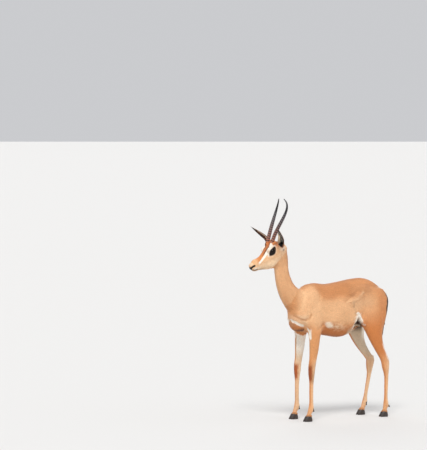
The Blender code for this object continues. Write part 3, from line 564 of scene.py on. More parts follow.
def body_colours(colour, points, outward, part, cloud, fine):
    x, y, z = in_body(points)
    side = np.abs(y)
    flank = near(z, 0.640, 0.045, 0.075) * near(x, -0.02, 0.17, 0.12)
    lay(colour, PALE, 0.80 * flank + 0.10 * cloud * flank)
    shoulder = near(z, 0.690, 0.060, 0.080) * near(x, -0.235, 0.040, 0.060)
    lay(colour, PALE, 0.85 * shoulder)
    above = z - np.interp(x, *SADDLE_EDGE) + 0.006 * cloud + 0.004 * fine
    saddle = step(-0.012, 0.012, above) * near(x, -0.060, 0.110, 0.040) * step(0.825, 0.800, z)
    lay(colour, SADDLE, 0.45 * saddle)
    place = np.stack([x, side, z], 1)
    lay(colour, SADDLE, 0.28 * stroke(place, CROUP_STREAK, 0.004, 0.022))
    # painted highlight along the crest of the hip ridge
    lay(colour, PALE, 0.90 * stroke(place, HIP_RIDGE, 0.003, 0.011))
    # painted shade in the crease of the flank
    lay(colour, GREY, 0.35 * stroke(place, FLANK_CREASE, 0.002, 0.010))
    withers = step(0.700, 0.760, z) * near(x, -0.235, 0.030, 0.050)
    lay(colour, PALE, 0.55 * withers)
    buttock = near(x, 0.290, 0.030, 0.035) * near(z, 0.640, 0.080, 0.060)
    lay(colour, ORANGE, 0.60 * buttock)
    hip = near(x, 0.125, 0.050, 0.050) * near(z, 0.735, 0.045, 0.040)
    lay(colour, GREY, 0.16 * hip)
    spine = near(side, 0.0, 0.012, 0.030) * step(0.70, 0.78, z) * (part == TORSO)
    lay(colour, SADDLE, 0.55 * spine)
    haunch = near(x, 0.235, 0.060, 0.080) * near(z, 0.660, 0.060, 0.100)
    lay(colour, PALE, 0.22 * haunch)
    # painted warm light thrown up from the ground, laid as orange on the belly's lower side
    low_flank_ground_light = near(z, 0.535 - 0.05 * step(-0.1, 0.0, x), 0.030, 0.035) * near(x, 0.0, 0.13, 0.05)
    lay(colour, ORANGE, 0.75 * low_flank_ground_light * (part == TORSO))
    thigh = (part == HIND_LEFT) | (part == HIND_RIGHT)
    behind_belly = np.maximum(thigh, step(0.095, 0.135, x) * (part == TORSO))
    lay(colour, ORANGE, 0.85 * behind_belly * near(z, 0.480, 0.050, 0.200))
    # Under the belly in front, orange is painted warm light thrown up from the ground and brown is painted
    # shadow
    belly = (part == TORSO) * step(0.10, 0.60, -outward[:, 2] - 0.12 * fine) * step(-0.21, -0.16, x)
    # where it faces straight down; behind, the belly keeps its own white.
    lay(colour, ORANGE * 0.92, 0.95 * belly * step(0.12, 0.04, x))
    lay(colour, BROWN, 0.25 * belly * step(0.06, 0.0, x) * step(0.75, 1.00, -outward[:, 2]))
    lay(colour, WHITE, belly * step(0.06, 0.12, x))
    band = blot((x + 0.060) / 0.055, (z - 0.556 + 0.15 * (x + 0.06)) / 0.020) * (part == TORSO)
    lay(colour, CREAM, 0.75 * band * step(-0.5, 0.4, fine + 0.6 * cloud))
    long_way, short_way = x + 0.112 - 0.55 * (z - 0.570), z - 0.570 + 0.55 * (x + 0.112)
    elbow = blot(long_way / 0.036, short_way / 0.022) * (part == TORSO) + 0.10 * fine + 0.06 * cloud
    lay(colour, CREAM * 0.5 + WHITE * 0.5, 0.90 * step(0.20, 0.75, elbow))
    chest = (part == TORSO) * step(-0.235, -0.275, x) * near(z, 0.600, 0.020, 0.025)
    lay(colour, CREAM, 0.35 * chest)
    fold_xs, fold_heights = (-0.324, -0.308, -0.283, -0.258, -0.240), (0.599, 0.587, 0.572, 0.556, 0.526)
    under_fold = np.interp(x, fold_xs, fold_heights) - z
    # painted shade under the chest fold: orange for warm light thrown up from the ground, brown where it
    # faces down
    brisket_shade = (part == TORSO) * step(-0.20, -0.24, x) * step(-0.002, 0.008, under_fold)
    lay(colour, ORANGE, 0.60 * brisket_shade)
    lay(colour, BROWN, 0.80 * brisket_shade * step(0.55, 0.90, -outward[:, 2]))
    # painted shade along the crease under the shoulder's edge
    lay(colour, SADDLE, 0.55 * stroke(place, SHOULDER_EDGE, 0.0025, 0.0085))
    lay(colour, WHITE, 0.95 * stroke(place, CHEST_FOLD, 0.0062, 0.0110, 0.001 * fine) * (part != NECK))


print("the body can be coloured")

# %% Markings of the legs
BELLY_EDGE = ((0.090, 0.107, 0.630), (0.081, 0.106, 0.605), (0.076, 0.101, 0.582), (0.065, 0.090, 0.551),
              (0.055, 0.057, 0.515))


def leg_colours(colour, points, outward, part, fine):
    x, y, z = in_body(points)
    side = np.abs(y)
    inward = -outward[:, 1] * np.sign(y)
    fore = (part == FORE_LEFT) | (part == FORE_RIGHT)
    hind = (part == HIND_LEFT) | (part == HIND_RIGHT)
    legs = fore | hind
    inner = legs * step(0.10, 0.55, inward + 0.12 * fine)
    inner_tone = CREAM * 0.80 + np.array([-0.05, 0.0, 0.03])
    lay(colour, inner_tone, (0.50 + 0.40 * step(0.30, 0.40, z)) * inner)
    lay(colour, WHITE * 1.02, inner * fore * step(0.36, 0.44, z))
    place = np.stack([x, side, z], 1)
    wide = 0.0035 + 0.0050 * step(0.57, 0.63, z)
    lay(colour, WHITE, stroke(place, THIGH_EDGE, wide, wide + 0.005, 0.0015 * fine))
    lay(colour, WHITE, 0.90 * stroke(place, BELLY_EDGE, 0.0035, 0.0080, 0.0015 * fine))
    gap = flank_gap(points)
    # painted shadow inside the gap between the belly's end and the front of the thigh
    lay(colour, BROWN * 0.35, step(0.25, 0.75, gap) * step(0.612, 0.600, z))
    # painted shadow on the upper inner thigh, where it is seen through that gap
    lay(colour, BROWN * 0.5, 0.9 * hind * inner * step(0.500, 0.545, z) * step(0.235, 0.205, x))
    lay(colour, WHITE * 0.95, hind * inner * step(0.205, 0.235, x) * step(0.44, 0.50, z))
    groin = (x > 0.03) * (x < 0.26) * step(0.60, 0.55, z) * (part == TORSO)
    lay(colour, CREAM * 0.7, 0.8 * groin * step(0.35, 0.75, -outward[:, 2]))
    cannon = legs * step(0.400, 0.300, z)
    lay(colour, CREAM, 0.62 * cannon * step(0.15, -0.30, -outward[:, 0]))
    lay(colour, PALE, 0.45 * cannon)
    front = legs * step(0.30, 0.75, -outward[:, 0]) * step(0.420, 0.330, z) * step(0.060, 0.100, z)
    lay(colour, ORANGE, 0.62 * front * (1 - inner))
    knee = fore * near(z, 0.285, 0.032, 0.022) * step(-0.05, 0.55, -outward[:, 0] + 0.15 * fine)
    lay(colour, CHESTNUT * 0.9, knee)
    knee_line = fore * near(z, 0.285, 0.040, 0.040) * near(y * np.sign(y), 0.090, 0.005, 0.006)
    lay(colour, BROWN, 0.30 * knee_line)
    pastern = legs * step(0.075, 0.050, z)
    lay(colour, TAN, 0.40 * pastern)
    lay(colour, BLACK * 1.6, 0.90 * legs * step(0.036, 0.031, z))
    for foot_x, turn in FEET.values():
        behind_foot = step(0.023, 0.027, x - foot_x) * (x - foot_x < 0.060)
        dewclaws = legs * (y * turn > 0) * behind_foot * near(z, 0.064, 0.012, 0.004)
        lay(colour, BLACK * 1.4, dewclaws)
    back_line = ((0.272, 0.099, 0.443), (0.294, 0.093, 0.401), (0.318, 0.093, 0.346))
    lay(colour, WHITE, 0.70 * hind * (y < 0) * stroke(place, back_line, 0.0020, 0.0050))
    behind_thigh = hind * step(0.25, 0.80, outward[:, 0]) * step(0.40, 0.48, z)
    lay(colour, PALE, 0.35 * behind_thigh)
    edge = fore * near(x, -0.246, 0.006, 0.010) * step(0.47, 0.50, z) * (inward < 0.3)
    lay(colour, WHITE, 0.75 * edge)


print("the legs can be coloured")

# %% Markings of rump, tail and neck
RUMP_HEIGHTS = (0.56, 0.60, 0.65, 0.69, 0.71, 0.73, 0.76)
RUMP_HALVES = (0.078, 0.081, 0.085, 0.078, 0.071, 0.061, 0.046)  # half the white's width at each height


def rump_colours(colour, points, outward, part, fine):
    x, y, z = in_body(points)
    side = np.abs(y) + 0.0025 * fine
    behind = step(0.15, 0.45, outward[:, 0]) * (x > 0.24)
    edge = np.interp(z, RUMP_HEIGHTS, RUMP_HALVES)
    white = behind * step(edge + 0.002, edge - 0.008, side) * step(0.520, 0.570, z) * step(0.790, 0.772, z)
    between = (side < 0.078) * (x > 0.22) * step(0.640, 0.610, z) * step(0.47, 0.52, z)
    between = between * step(-0.6, -0.2, -outward[:, 2])
    white = np.maximum(white, between * (part != TAIL))
    croup = step(0.058, 0.048, side) * step(0.290, 0.300, x + 0.001 * fine) * step(0.738, 0.750, z)
    lay(colour, WHITE, np.maximum(white, croup) * (part != TAIL))
    line = behind * near(side, edge + 0.0035, 0.0068, 0.0040) * step(0.575, 0.610, z) * step(0.760, 0.746, z)
    lay(colour, BLACK, line * (part != TAIL))
    tail = part == TAIL
    lay(colour, PALE, tail * 0.9)
    lay(colour, WHITE, tail * step(0.004, 0.008, side))
    along_top = tail * step(0.0, 0.4, outward[:, 0]) * near(side, 0.0, 0.003, 0.003)
    lay(colour, BROWN, 0.6 * along_top)
    lay(colour, BLACK, tail * step(0.600, 0.575, z + 0.006 * fine))


def neck_colours(colour, points, outward, part, cloud):
    _, _, z = in_body(points)
    neck = (part == NECK) | (part == HEAD)
    nape = neck * step(0.25, 0.80, outward[:, 0])
    side_pale = neck * step(0.45, 0.85, np.abs(outward[:, 1]))
    lay(colour, PALE, (0.62 + 0.15 * cloud) * side_pale * step(0.60, 0.70, z))
    lay(colour, ORANGE, 0.50 * nape)
    front = neck * step(0.55, 0.90, -outward[:, 0])
    lay(colour, CREAM, 0.30 * front * step(0.80, 0.90, z))
    lay(colour, PALE * 1.06, 0.75 * front)


print("rump, tail and neck can be coloured")

# %% [markdown]
# The face carries most of what names her, so its markings are placed in the head's own ways. Going
# round the muzzle from its top to its side is an angle, which keeps a stripe even in width although the
# face narrows to the nose.

# %% Markings round the eyes and the mouth


def eye_ways(side):
    """The eyeball's centre, the way it looks, and its long and short directions."""
    centre = head_place(EYE_BACK, EYE_RISE, side * EYE_OUT)
    looks = (Vector((0, side, 0)) - BACK * 0.30 + UP * 0.06).normalized()
    long_way = (BACK + UP * 0.52).normalized()
    long_way = (long_way - looks * long_way.dot(looks)).normalized()
    return centre, looks, long_way, looks.cross(long_way) * side


def head_share(points):
    """How far each point belongs to the head rather than the neck, from 0 to 1, with a ragged border."""
    x, y, z = in_body(points)
    return step(-0.016, 0.020, past_neck(x, z) + 0.004 * np.sin(y * 210 + z * 90))


def stripe_gap(back, rise, side):
    """Distance round the face from the middle of the white stripe, positive toward the midline."""
    backs = (0.050, 0.071, 0.093, 0.125, 0.160, 0.205)
    turns = (16.0, 28.0, 44.0, 57.0, 63.0, 67.0)
    turn = np.degrees(np.arctan2(rise + 0.012, side))
    return np.radians(turn - np.interp(back, backs, turns)) * np.hypot(rise + 0.012, side)


def eye_surround(colour, points, head, fine):
    """Black skin and lashes round each eye, drawn out toward the nose, with a pale ring outside it."""
    _, _, across = in_head(points)
    for _, turn in SIDES:
        centre, _, long_way, short_way = eye_ways(turn)
        away = points - np.array(centre) - np.array(UP) * 0.002
        along = away @ np.array(long_way)
        over = away @ np.array(short_way)
        narrow = 0.0190 - 0.12 * np.abs(along)
        oval = np.sqrt((along / 0.0300) ** 2 + (over / narrow) ** 2)
        close = head * (across * turn > 0.012)
        below = 0.20 + 0.55 * step(0.30, -0.30, over / narrow)
        lay(colour, WHITE, below * close * near(oval, 1.24, 0.10, 0.20))
        lay(colour, BLACK, close * step(1.08, 0.94, oval + 0.05 * fine))


def muzzle_colours(colour, points, head, fine):
    """Nose pad, nostrils, lips, the mouth's line, a painted highlight on the nose and painted shade under the
    lip.
    """
    back, rise, across = in_head(points)
    side = np.abs(across)
    top = head * step(38, 60, np.degrees(np.arctan2(rise + 0.012, side))) * step(0.050, 0.030, back)
    lay(colour, TAN, 0.45 * top)
    # painted highlight across the top of the nose near its front
    lay(colour, CREAM, 0.70 * top * near(back, 0.014, 0.006, 0.006))
    for _, turn in SIDES:
        mouth = mouth_line(turn)
        above = head * (rise > -0.0205 - 0.0135 * np.maximum(back, 0) / 0.06)
        lip = stroke(points, mouth, 0.005, 0.0105) * above
        lay(colour, WHITE, 0.85 * lip * step(0.010, 0.022, back))
        # painted shade below the mouth, laid as brown from the lip down
        under = stroke(points, mouth, 0.0075, 0.0110, 0.001 * fine) * head * (1 - above)
        lay(colour, BROWN * 0.8, 0.85 * under * step(0.046, 0.034, back))
        lay(colour, BLACK, head * stroke(points, mouth, 0.0016, 0.0034))
        nostril = on_face(turn, (0.003, -0.007, 0.0105), (0.014, -0.002, 0.0165), (0.0255, -0.0030, 0.0205))
        lay(colour, BLACK, head * stroke(points, nostril, 0.0048, 0.0072))
    pad = head * step(0.014, 0.006, back) * step(0.016, 0.011, side) * step(0.003, -0.001, rise)
    lay(colour, BLACK, 0.95 * pad * step(-0.026, -0.019, rise))


print("eyes and mouth can be coloured")

# %% Markings of the head


def head_colours(colour, points, outward, part, fine):
    back, rise, across = in_head(points)
    side = np.abs(across)
    head = part == HEAD
    streak = mottle(points * np.array([0.35, 1.0, 1.0]), 0.0065, 2.3)
    face = PALE * (1 + 0.10 * streak)[:, None]
    lay(colour, face, head_share(points) * head)
    jaw = head * step(0.005, -0.045, rise) * head_share(points)
    lay(colour, CREAM, (0.65 + 0.2 * streak) * jaw)
    cheek = head * near(rise, -0.010, 0.020, 0.020) * step(0.10, 0.16, back)
    lay(colour, TAN, step(0.15, 0.6, streak) * 0.5 * cheek)
    poll = head * step(0.185, 0.210, back) * step(0.0, 0.03, rise)
    lay(colour, TAN, 0.85 * poll)
    gap = stripe_gap(back, rise, side)
    blaze = head * step(0.0050, 0.0085, gap + 0.001 * fine) * step(0.040, 0.075, back)
    lay(colour, ORANGE * 1.12, 0.92 * blaze)
    ridge = blaze * near(side, 0.0, 0.006, 0.008) * step(0.09, 0.14, back)
    lay(colour, CHESTNUT, 0.55 * ridge)
    half = 0.0046 + 0.0026 * step(0.08, 0.15, back)
    stripe = head * near(gap, 0.0, half, 0.0026) * step(0.050, 0.066, back) * step(0.190, 0.176, back)
    lay(colour, WHITE, stripe)
    dark = head * near(gap, half + 0.0065, 0.0024 + 0.0006 * fine, 0.0024) * step(0.092, 0.120, back)
    lay(colour, BROWN, 0.92 * dark * step(0.215, 0.200, back))
    forelock = head * step(0.176, 0.190, back) * step(0.030, 0.040, rise) * step(0.040, 0.030, side)
    lay(colour, CHESTNUT * 0.9, 0.85 * forelock * step(0.245, 0.225, back))
    brow = head * blot((back - 0.146) / 0.015, (rise - 0.049) / 0.008)
    lay(colour, WHITE, 1.1 * (brow * step(0.026, 0.032, side)))
    behind_horn = head * near(back, 0.196, 0.012, 0.006) * step(0.032, 0.042, rise)
    lay(colour, ORANGE, 0.85 * (behind_horn * near(side, 0.030, 0.014, 0.006)))
    place = np.stack([back, rise, side], 1)
    ear_edge = ((0.2265, 0.0489, 0.020), (0.2163, 0.0408, 0.047), (0.2167, 0.0242, 0.063))
    lay(colour, BROWN, 0.75 * head * stroke(place, ear_edge, 0.0018, 0.0050))
    # painted shade under the chin, where the skin faces down
    chin_shade = head * step(0.30, 0.80, -outward @ np.array(UP)) * near(back, 0.045, 0.030, 0.020)
    lay(colour, BROWN, 0.55 * chin_shade)
    # painted shadow at the angle of the jaw, under the throat
    throat = head * blot((back - 0.150) / 0.014, (rise + 0.082) / 0.008)
    lay(colour, BROWN, 0.70 * throat)
    for _, turn in SIDES:
        corner = on_face(turn, (0.143, 0.010, 0.040), (0.112, 0.003, 0.034), (0.075, -0.011, 0.026),
                         (0.058, -0.017, 0.024))
        lay(colour, CHESTNUT, 0.70 * head * stroke(points, corner, 0.0024, 0.0056, 0.001 * fine))
        tear = head * stroke(points, corner[:2], 0.0016, 0.0034)
        lay(colour, BLACK, 0.9 * tear * step(0.114, 0.132, back))
        lash = on_face(turn, (0.172, 0.032, 0.043), (0.181, 0.038, 0.041))
        lay(colour, BLACK, 0.85 * head * stroke(points, lash, 0.004, 0.008))
    eye_surround(colour, points, head, fine)
    muzzle_colours(colour, points, head, fine)


print("the head can be coloured")

# %% Markings of the ears


def ear_colours(colour, points, outward, part):
    """Grey-brown behind, black inside with pale rows toward the crown, and a cream tuft at the root."""
    for index, (name, turn) in enumerate(SIDES, EAR_LEFT):
        root, way, opening, length = ear_axis(name, turn)
        here = part == index
        away = points - np.array(root)
        along = away @ np.array(way) / length
        inner_way = way.cross(opening)
        inner_way *= -1 if inner_way.y * turn > 0 else 1
        inner = away @ np.array(inner_way)
        inside = outward @ np.array(opening)
        colour[here] = GREY
        lay(colour, TAN, 0.85 * here * step(0.45, 0.10, along))
        lay(colour, BROWN, 0.75 * here * step(0.008, 0.020, np.abs(inner)) * step(0.15, 0.35, along))
        cup = here * step(0.02, 0.30, inside)
        lay(colour, BLACK, cup)
        rows = 0.5 + 0.5 * np.cos((inner - 0.002) / 0.0072 * 2 * math.pi)
        crown = step(-0.008, 0.006, inner)
        lay(colour, WHITE, cup * rows ** 3 * (0.08 + 0.45 * crown) * step(0.95, 0.70, along))
        outer_cup = cup * step(-0.002, -0.009, inner) * step(0.90, 0.60, along)
        lay(colour, CHESTNUT * 0.55, 0.60 * outer_cup * (0.35 + 0.65 * rows))
        deep = here * step(0.10, 0.40, outward @ np.array(way)) * step(0.42, 0.30, along)
        lay(colour, BLACK, deep)
        rim = here * step(0.0135, 0.0180, inner) * step(-0.25, 0.10, inside) * step(0.88, 0.70, along)
        lay(colour, CREAM, 0.9 * rim)
        outer = here * step(-0.0120, -0.0175, inner) * step(0.85, 0.60, along) * step(-0.25, 0.15, inside)
        lay(colour, BLACK, 0.85 * outer)
        lay(colour, CHESTNUT * 0.6, 0.50 * outer * step(0.50, 0.35, along))
        lay(colour, BLACK, here * step(0.84, 0.96, along))
        foot = (part == HEAD) * blot(np.linalg.norm(away + np.array(UP) * 0.006, axis=1) / 0.018)
        lay(colour, WHITE, 1.1 * foot)
        notch = (part == HEAD) * blot(np.linalg.norm(away + np.array(UP) * 0.024, axis=1) / 0.007)
        lay(colour, BROWN, 0.8 * notch)


print("the ears can be coloured")

# %% Colour the skin


def coat_colours(points, outward):
    """The colour of her coat at each point; outward is the way that the skin faces there."""
    part = part_of(points)
    cloud = mottle(points, *CLOUDS)
    fine = mottle(points, *SPECKS)
    colour = np.tile(TAN, (len(points), 1))
    body_colours(colour, points, outward, part, cloud, fine)
    leg_colours(colour, points, outward, part, fine)
    rump_colours(colour, points, outward, part, fine)
    neck_colours(colour, points, outward, part, cloud)
    head_colours(colour, points, outward, part, fine)
    ear_colours(colour, points, outward, part)
    return np.clip(colour * (1 + UNEVENNESS * cloud + UNEVENNESS * fine)[:, None], DARKEST, PALEST)


def set_colours(piece, name, colours):
    """Keeps a colour at each point of a mesh under a name that its material reads."""
    layer = piece.data.attributes.new(name, "FLOAT_COLOR", "POINT")
    full = np.ones((len(colours), 4), dtype=np.float32)
    full[:, :3] = colours
    layer.data.foreach_set("color", full.ravel())


def set_values(piece, name, values):
    layer = piece.data.attributes.new(name, "FLOAT", "POINT")
    layer.data.foreach_set("value", np.ascontiguousarray(values, dtype=np.float32))


skin_points = places(skin)
skin_outward = normals_of(skin)
set_colours(skin, "coat", coat_colours(skin_points, skin_outward))
print("the skin's colours are laid")

# %% [markdown]
# Finishes. Hair is dull but not flat: its strands catch light along their length, so the skin gets fine
# streaks that run the way the hair lies, in colour and in bump. One set of streaks runs along the body
# and one runs up and down, for neck and legs, and an attribute says which is used where.

# %% Helpers for finishes


def new_material(name):
    """A material, its node tree and its shader."""
    made = bpy.data.materials.new(name)
    made.use_nodes = True
    return made, made.node_tree, made.node_tree.nodes["Principled BSDF"]


def set_inputs(tree, node, inputs):
    """Gives each named input a value, or links it to the output of another node."""
    for entry, value in inputs.items():
        if isinstance(value, bpy.types.NodeSocket):
            tree.links.new(value, node.inputs[entry])
        else:
            node.inputs[entry].default_value = value


def add_node(tree, kind, output, inputs, **settings):
    """Adds a shader node and gives one of its outputs, for the next node to read."""
    made = tree.nodes.new("ShaderNode" + kind)
    for setting, value in settings.items():
        setattr(made, setting, value)
    set_inputs(tree, made, inputs)
    return made.outputs[output]


def object_place(tree):
    return add_node(tree, "TexCoord", "Object", {})


def attribute(tree, name, output="Fac"):
    return add_node(tree, "Attribute", output, {}, attribute_name=name)


def remap(tree, value, start, end, low, high):
    """Turns a value that runs from start to end into one that runs from low to high."""
    limits = {"From Min": start, "From Max": end, "To Min": low, "To Max": high}
    return add_node(tree, "MapRange", "Result", {"Value": value, **limits})


def stretched_noise(tree, scales, detail):
    """Noise with its own scale along x, y and z, so that it can run in streaks."""
    stretch = add_node(tree, "Mapping", "Vector", {"Vector": object_place(tree), "Scale": scales})
    return add_node(tree, "TexNoise", "Fac", {"Vector": stretch, "Scale": 1.0, "Detail": detail})


def scaled(tree, colour, factor):
    return add_node(tree, "VectorMath", "Vector", {0: colour, "Scale": factor}, operation="SCALE")


def bump(tree, height, strength, distance):
    return add_node(tree, "Bump", "Normal", {"Height": height, "Strength": strength, "Distance": distance})


def ramp(tree, value, first, last, *others):
    """A value turned into a colour: each stop is a place from 0 to 1 and the colour there."""
    made = tree.nodes.new("ShaderNodeValToRGB")
    stops = made.color_ramp.elements
    for index, (position, colour) in enumerate((first, last)):
        stops[index].position = position
        stops[index].color = (*colour, 1)
    for position, colour in others:
        stops.new(position).color = (*colour, 1)
    tree.links.new(value, made.inputs["Fac"])
    return made.outputs["Color"]


print("helpers for finishes are ready")

# %% Finish of skin and hair


def skin_material():
    made, tree, shader = new_material("short_coat")
    lengthways = stretched_noise(tree, (90.0, 420.0, 420.0), 3.0)
    standing = stretched_noise(tree, (420.0, 420.0, 90.0), 3.0)
    mix = {0: attribute(tree, "upright"), 2: lengthways, 3: standing}
    streaks = add_node(tree, "Mix", 0, mix, data_type="FLOAT")
    shade = remap(tree, streaks, 0.30, 0.70, 0.80, 1.16)
    set_inputs(tree, shader, {
        "Base Color": scaled(tree, attribute(tree, "coat", "Color"), shade),
        "Roughness": remap(tree, attribute(tree, "wet"), 0.0, 1.0, 0.68, 0.28),
        "Specular IOR Level": 0.25, "Sheen Weight": 0.12, "Sheen Roughness": 0.5,
        "Normal": bump(tree, streaks, 0.55, 0.0012)})
    return made


def tuft_material():
    made, tree, shader = new_material("coat_hair")
    set_inputs(tree, shader, {"Base Color": attribute(tree, "coat", "Color"), "Roughness": 0.62,
                              "Specular IOR Level": 0.25, "Sheen Weight": 0.10})
    return made


x, y, z = in_body(skin_points)
part = part_of(skin_points)
upright = np.isin(part, (NECK, FORE_LEFT, FORE_RIGHT, HIND_LEFT, HIND_RIGHT, TAIL)).astype(float)
upright = np.maximum(upright, step(0.24, 0.32, x) * (part == TORSO))
set_values(skin, "upright", soften(skin, upright, 20))
back, _, across = in_head(skin_points)
wet = (part == HEAD) * step(0.014, 0.006, back) * step(0.016, 0.010, np.abs(across))
for _, side in SIDES:
    nostril = on_face(side, (0.010, -0.002, 0.014), (0.024, 0.006, 0.020))
    wet = np.maximum(wet, (part == HEAD) * stroke(skin_points, nostril, 0.003, 0.006))
set_values(skin, "wet", wet)
skin.data.materials.append(skin_material())
for face in skin.data.polygons:
    face.use_smooth = True
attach(skin, "root")
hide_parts(*FLESH)
print("the skin is finished, with", len(skin.data.polygons), "triangles")

# %% [markdown]
# Hair. Her coat is short and flat, so most of it is the bump above. Real tufts lie over it, each a thin
# blade that starts in the skin and lies back along the body. They are drawn at random over the skin's
# triangles by area, a set number for each part of the body. They are mesh, joined into one piece for
# each part.

# %% Draw roots over the skin
SEED = 11  # another seed puts every hair in another place
draw = np.random.default_rng(SEED)
skin.data.calc_loop_triangles()
corner_flat = np.empty(len(skin.data.loop_triangles) * 3, dtype=np.int64)
skin.data.loop_triangles.foreach_get("vertices", corner_flat)
triangles = corner_flat.reshape(-1, 3)
edge_a = skin_points[triangles[:, 1]] - skin_points[triangles[:, 0]]
edge_b = skin_points[triangles[:, 2]] - skin_points[triangles[:, 0]]
areas = np.linalg.norm(np.cross(edge_a, edge_b), axis=1) / 2
middles = skin_points[triangles].mean(axis=1)
triangle_part = part_of(middles)
facing = skin_outward[triangles].mean(axis=1)
facing /= np.linalg.norm(facing, axis=1)[:, None]
print("the skin's area is", round(areas.sum(), 3), "square metres")


def draw_roots(count, weight):
    """Places on the skin and the way it faces there, drawn by the triangles' areas times weight."""
    chance = areas * weight
    chosen = draw.choice(len(areas), size=count, p=chance / chance.sum())
    first, second = draw.random(count), draw.random(count)
    fold = first + second > 1
    first, second = np.where(fold, 1 - first, first), np.where(fold, 1 - second, second)
    share = np.stack([1 - first - second, first, second], 1)
    roots = (skin_points[triangles[chosen]] * share[:, :, None]).sum(axis=1)
    outward = (skin_outward[triangles[chosen]] * share[:, :, None]).sum(axis=1)
    return roots, outward / np.linalg.norm(outward, axis=1)[:, None]


# %% [markdown]
# Hair lies back along the trunk, down the neck and the legs, back over the head from the nose, and out
# to the tip of each ear. Each part gets its own way, which is then laid flat on the skin.

# %% The lie of the hair


def hair_lie(points, outward):
    """The way the hair lies at each place, along the skin."""
    part = part_of(points)
    x, _, _ = in_body(points)
    lie = np.tile(np.array([1.0, 0.0, -0.32]), (len(points), 1))
    rear = step(0.22, 0.33, x)[:, None]
    lie = lie * (1 - rear) + np.array([0.15, 0.0, -1.0]) * rear
    lie[part == NECK] = (0.42, 0.0, -0.90)
    lie[part == HEAD] = np.array(BACK) + np.array([0, 0, -0.10])
    for index, (name, turn) in enumerate(SIDES, EAR_LEFT):
        lie[part == index] = np.array(ear_axis(name, turn)[1])
    lie[(part == FORE_LEFT) | (part == FORE_RIGHT)] = (0.06, 0.0, -1.0)
    lie[(part == HIND_LEFT) | (part == HIND_RIGHT)] = (0.20, 0.0, -1.0)
    lie[part == TAIL] = (0.02, 0.0, -1.0)
    lie -= outward * (lie * outward).sum(axis=1)[:, None]
    lie += 0.001  # so that no hair is left without a way to lie
    return lie / np.linalg.norm(lie, axis=1)[:, None]


print("the lie of the hair is known")

# %% [markdown]
# Each tuft needs a place on a flat sheet for its baked colour. The body is unrolled the way a tailor
# would: every part is a tube, cut open along one line, with its own square on the sheet. A tuft is a
# patch three thousandths across at its root's place there.

# %% Unroll the body onto a sheet
SHEET_CELL = 0.25
SHEET_USED = 0.235
SHEET_MARGIN = 0.006
PATCH = 0.003
TUBES = {
    "torso": ((-0.34, 0.0, 0.67), (0.37, 0.0, 0.69)),
    "neck": ((-0.39, 0.0, 1.04), (-0.22, 0.0, 0.62)),
    "head": ((-0.605, 0.0, 0.905), (-0.36, 0.0, 1.04)),
    "fore_left": ((-0.215, -0.080, 0.60), (-0.235, -0.080, 0.0)),
    "fore_right": ((-0.215, 0.080, 0.60), (-0.235, 0.080, 0.0)),
    "hind_left": ((0.235, -0.078, 0.66), (0.305, -0.080, 0.0)),
    "hind_right": ((0.215, 0.078, 0.66), (0.250, 0.080, 0.0)),
    "tail": ((0.350, 0.0, 0.78), (0.340, 0.0, 0.46)),
}
for name, side in SIDES:
    root, way, _, length = ear_axis(name, side)
    TUBES["ear_" + name] = (tuple(root - SHIFT), tuple(root - SHIFT + way * length))


def unrolled(points):
    """Each point's place on the sheet: round its part's tube, and along it."""
    part = part_of(points)
    sheet = np.zeros((len(points), 2))
    for index, name in enumerate(PARTS):
        here = part == index
        start, end = (np.array(place) + np.array(SHIFT) for place in TUBES[name])
        run = end - start
        length = np.linalg.norm(run)
        way = run / length
        seam = np.cross(way, (0.0, 1.0, 0.0))
        seam /= np.linalg.norm(seam)
        other = np.cross(way, seam)
        away = points[here] - start
        angle = np.arctan2(away @ other, away @ seam) / (2 * math.pi) + 0.5
        along = np.clip(away @ way / length, 0, 1)
        sheet[here, 0] = SHEET_CELL * (index % 4) + SHEET_MARGIN + SHEET_USED * angle
        sheet[here, 1] = SHEET_CELL * (index // 4) + SHEET_MARGIN + SHEET_USED * along
    return sheet


print("the sheet has", len(PARTS), "squares in use")

# %% [markdown]
# A tuft is a blade that is widest at its root and ends in one point. All the blades of a part are worked
# out at once, row by row, and become one mesh. Their normals follow the skin with a little scatter, so
# that the coat takes light as one surface and not as thousands of flat blades.

# %% Blades of hair
ROOT_SUNK = 0.0003  # how far a blade starts under the skin
BLADE_BEND = 1.3  # 1 is straight; more keeps the root low and lifts the tip
BLADE_FULLNESS = 1.6  # 1 tapers evenly; more stays wide further out


def blade_points(roots, outward, lie, length, width, lift, rows):
    """The points of each blade: two for each row from the root up, and one at the tip."""
    across = np.cross(outward, lie)
    made = []
    for row in range(rows):
        share = row / (rows - 1)
        rise = length * lift * share ** BLADE_BEND - ROOT_SUNK * (1 - share)
        middle = roots + lie * length * share + outward * rise
        half = across * width * 0.5 * (1 - share ** BLADE_FULLNESS)
        made += [middle - half, middle + half] if row < rows - 1 else [middle]
    return np.stack(made, axis=1)


def blade_mesh(name, points, rows):
    """All blades as one mesh of quads with a triangle at each tip, and the point at each face's corners."""
    count, per = points.shape[:2]
    start = np.arange(count)[:, None] * per
    quads = [start + np.array([2 * row + 1, 2 * row, 2 * row + 2, 2 * row + 3]) for row in range(rows - 2)]
    tips = start + np.array([per - 2, per - 3, per - 1])
    corners = np.concatenate([quad.ravel() for quad in quads] + [tips.ravel()])
    sizes = np.concatenate([np.full(count * (rows - 2), 4), np.full(count, 3)])
    mesh = bpy.data.meshes.new(name)
    mesh.vertices.add(count * per)
    mesh.vertices.foreach_set("co", points.astype(np.float32).ravel())
    mesh.loops.add(len(corners))
    mesh.loops.foreach_set("vertex_index", corners.astype(np.int32))
    mesh.polygons.add(len(sizes))
    mesh.polygons.foreach_set("loop_start", (np.cumsum(sizes) - sizes).astype(np.int32))
    mesh.update(calc_edges=True)
    mesh.validate()
    mesh.polygons.foreach_set("use_smooth", np.ones(len(sizes), dtype=bool))
    return mesh, corners


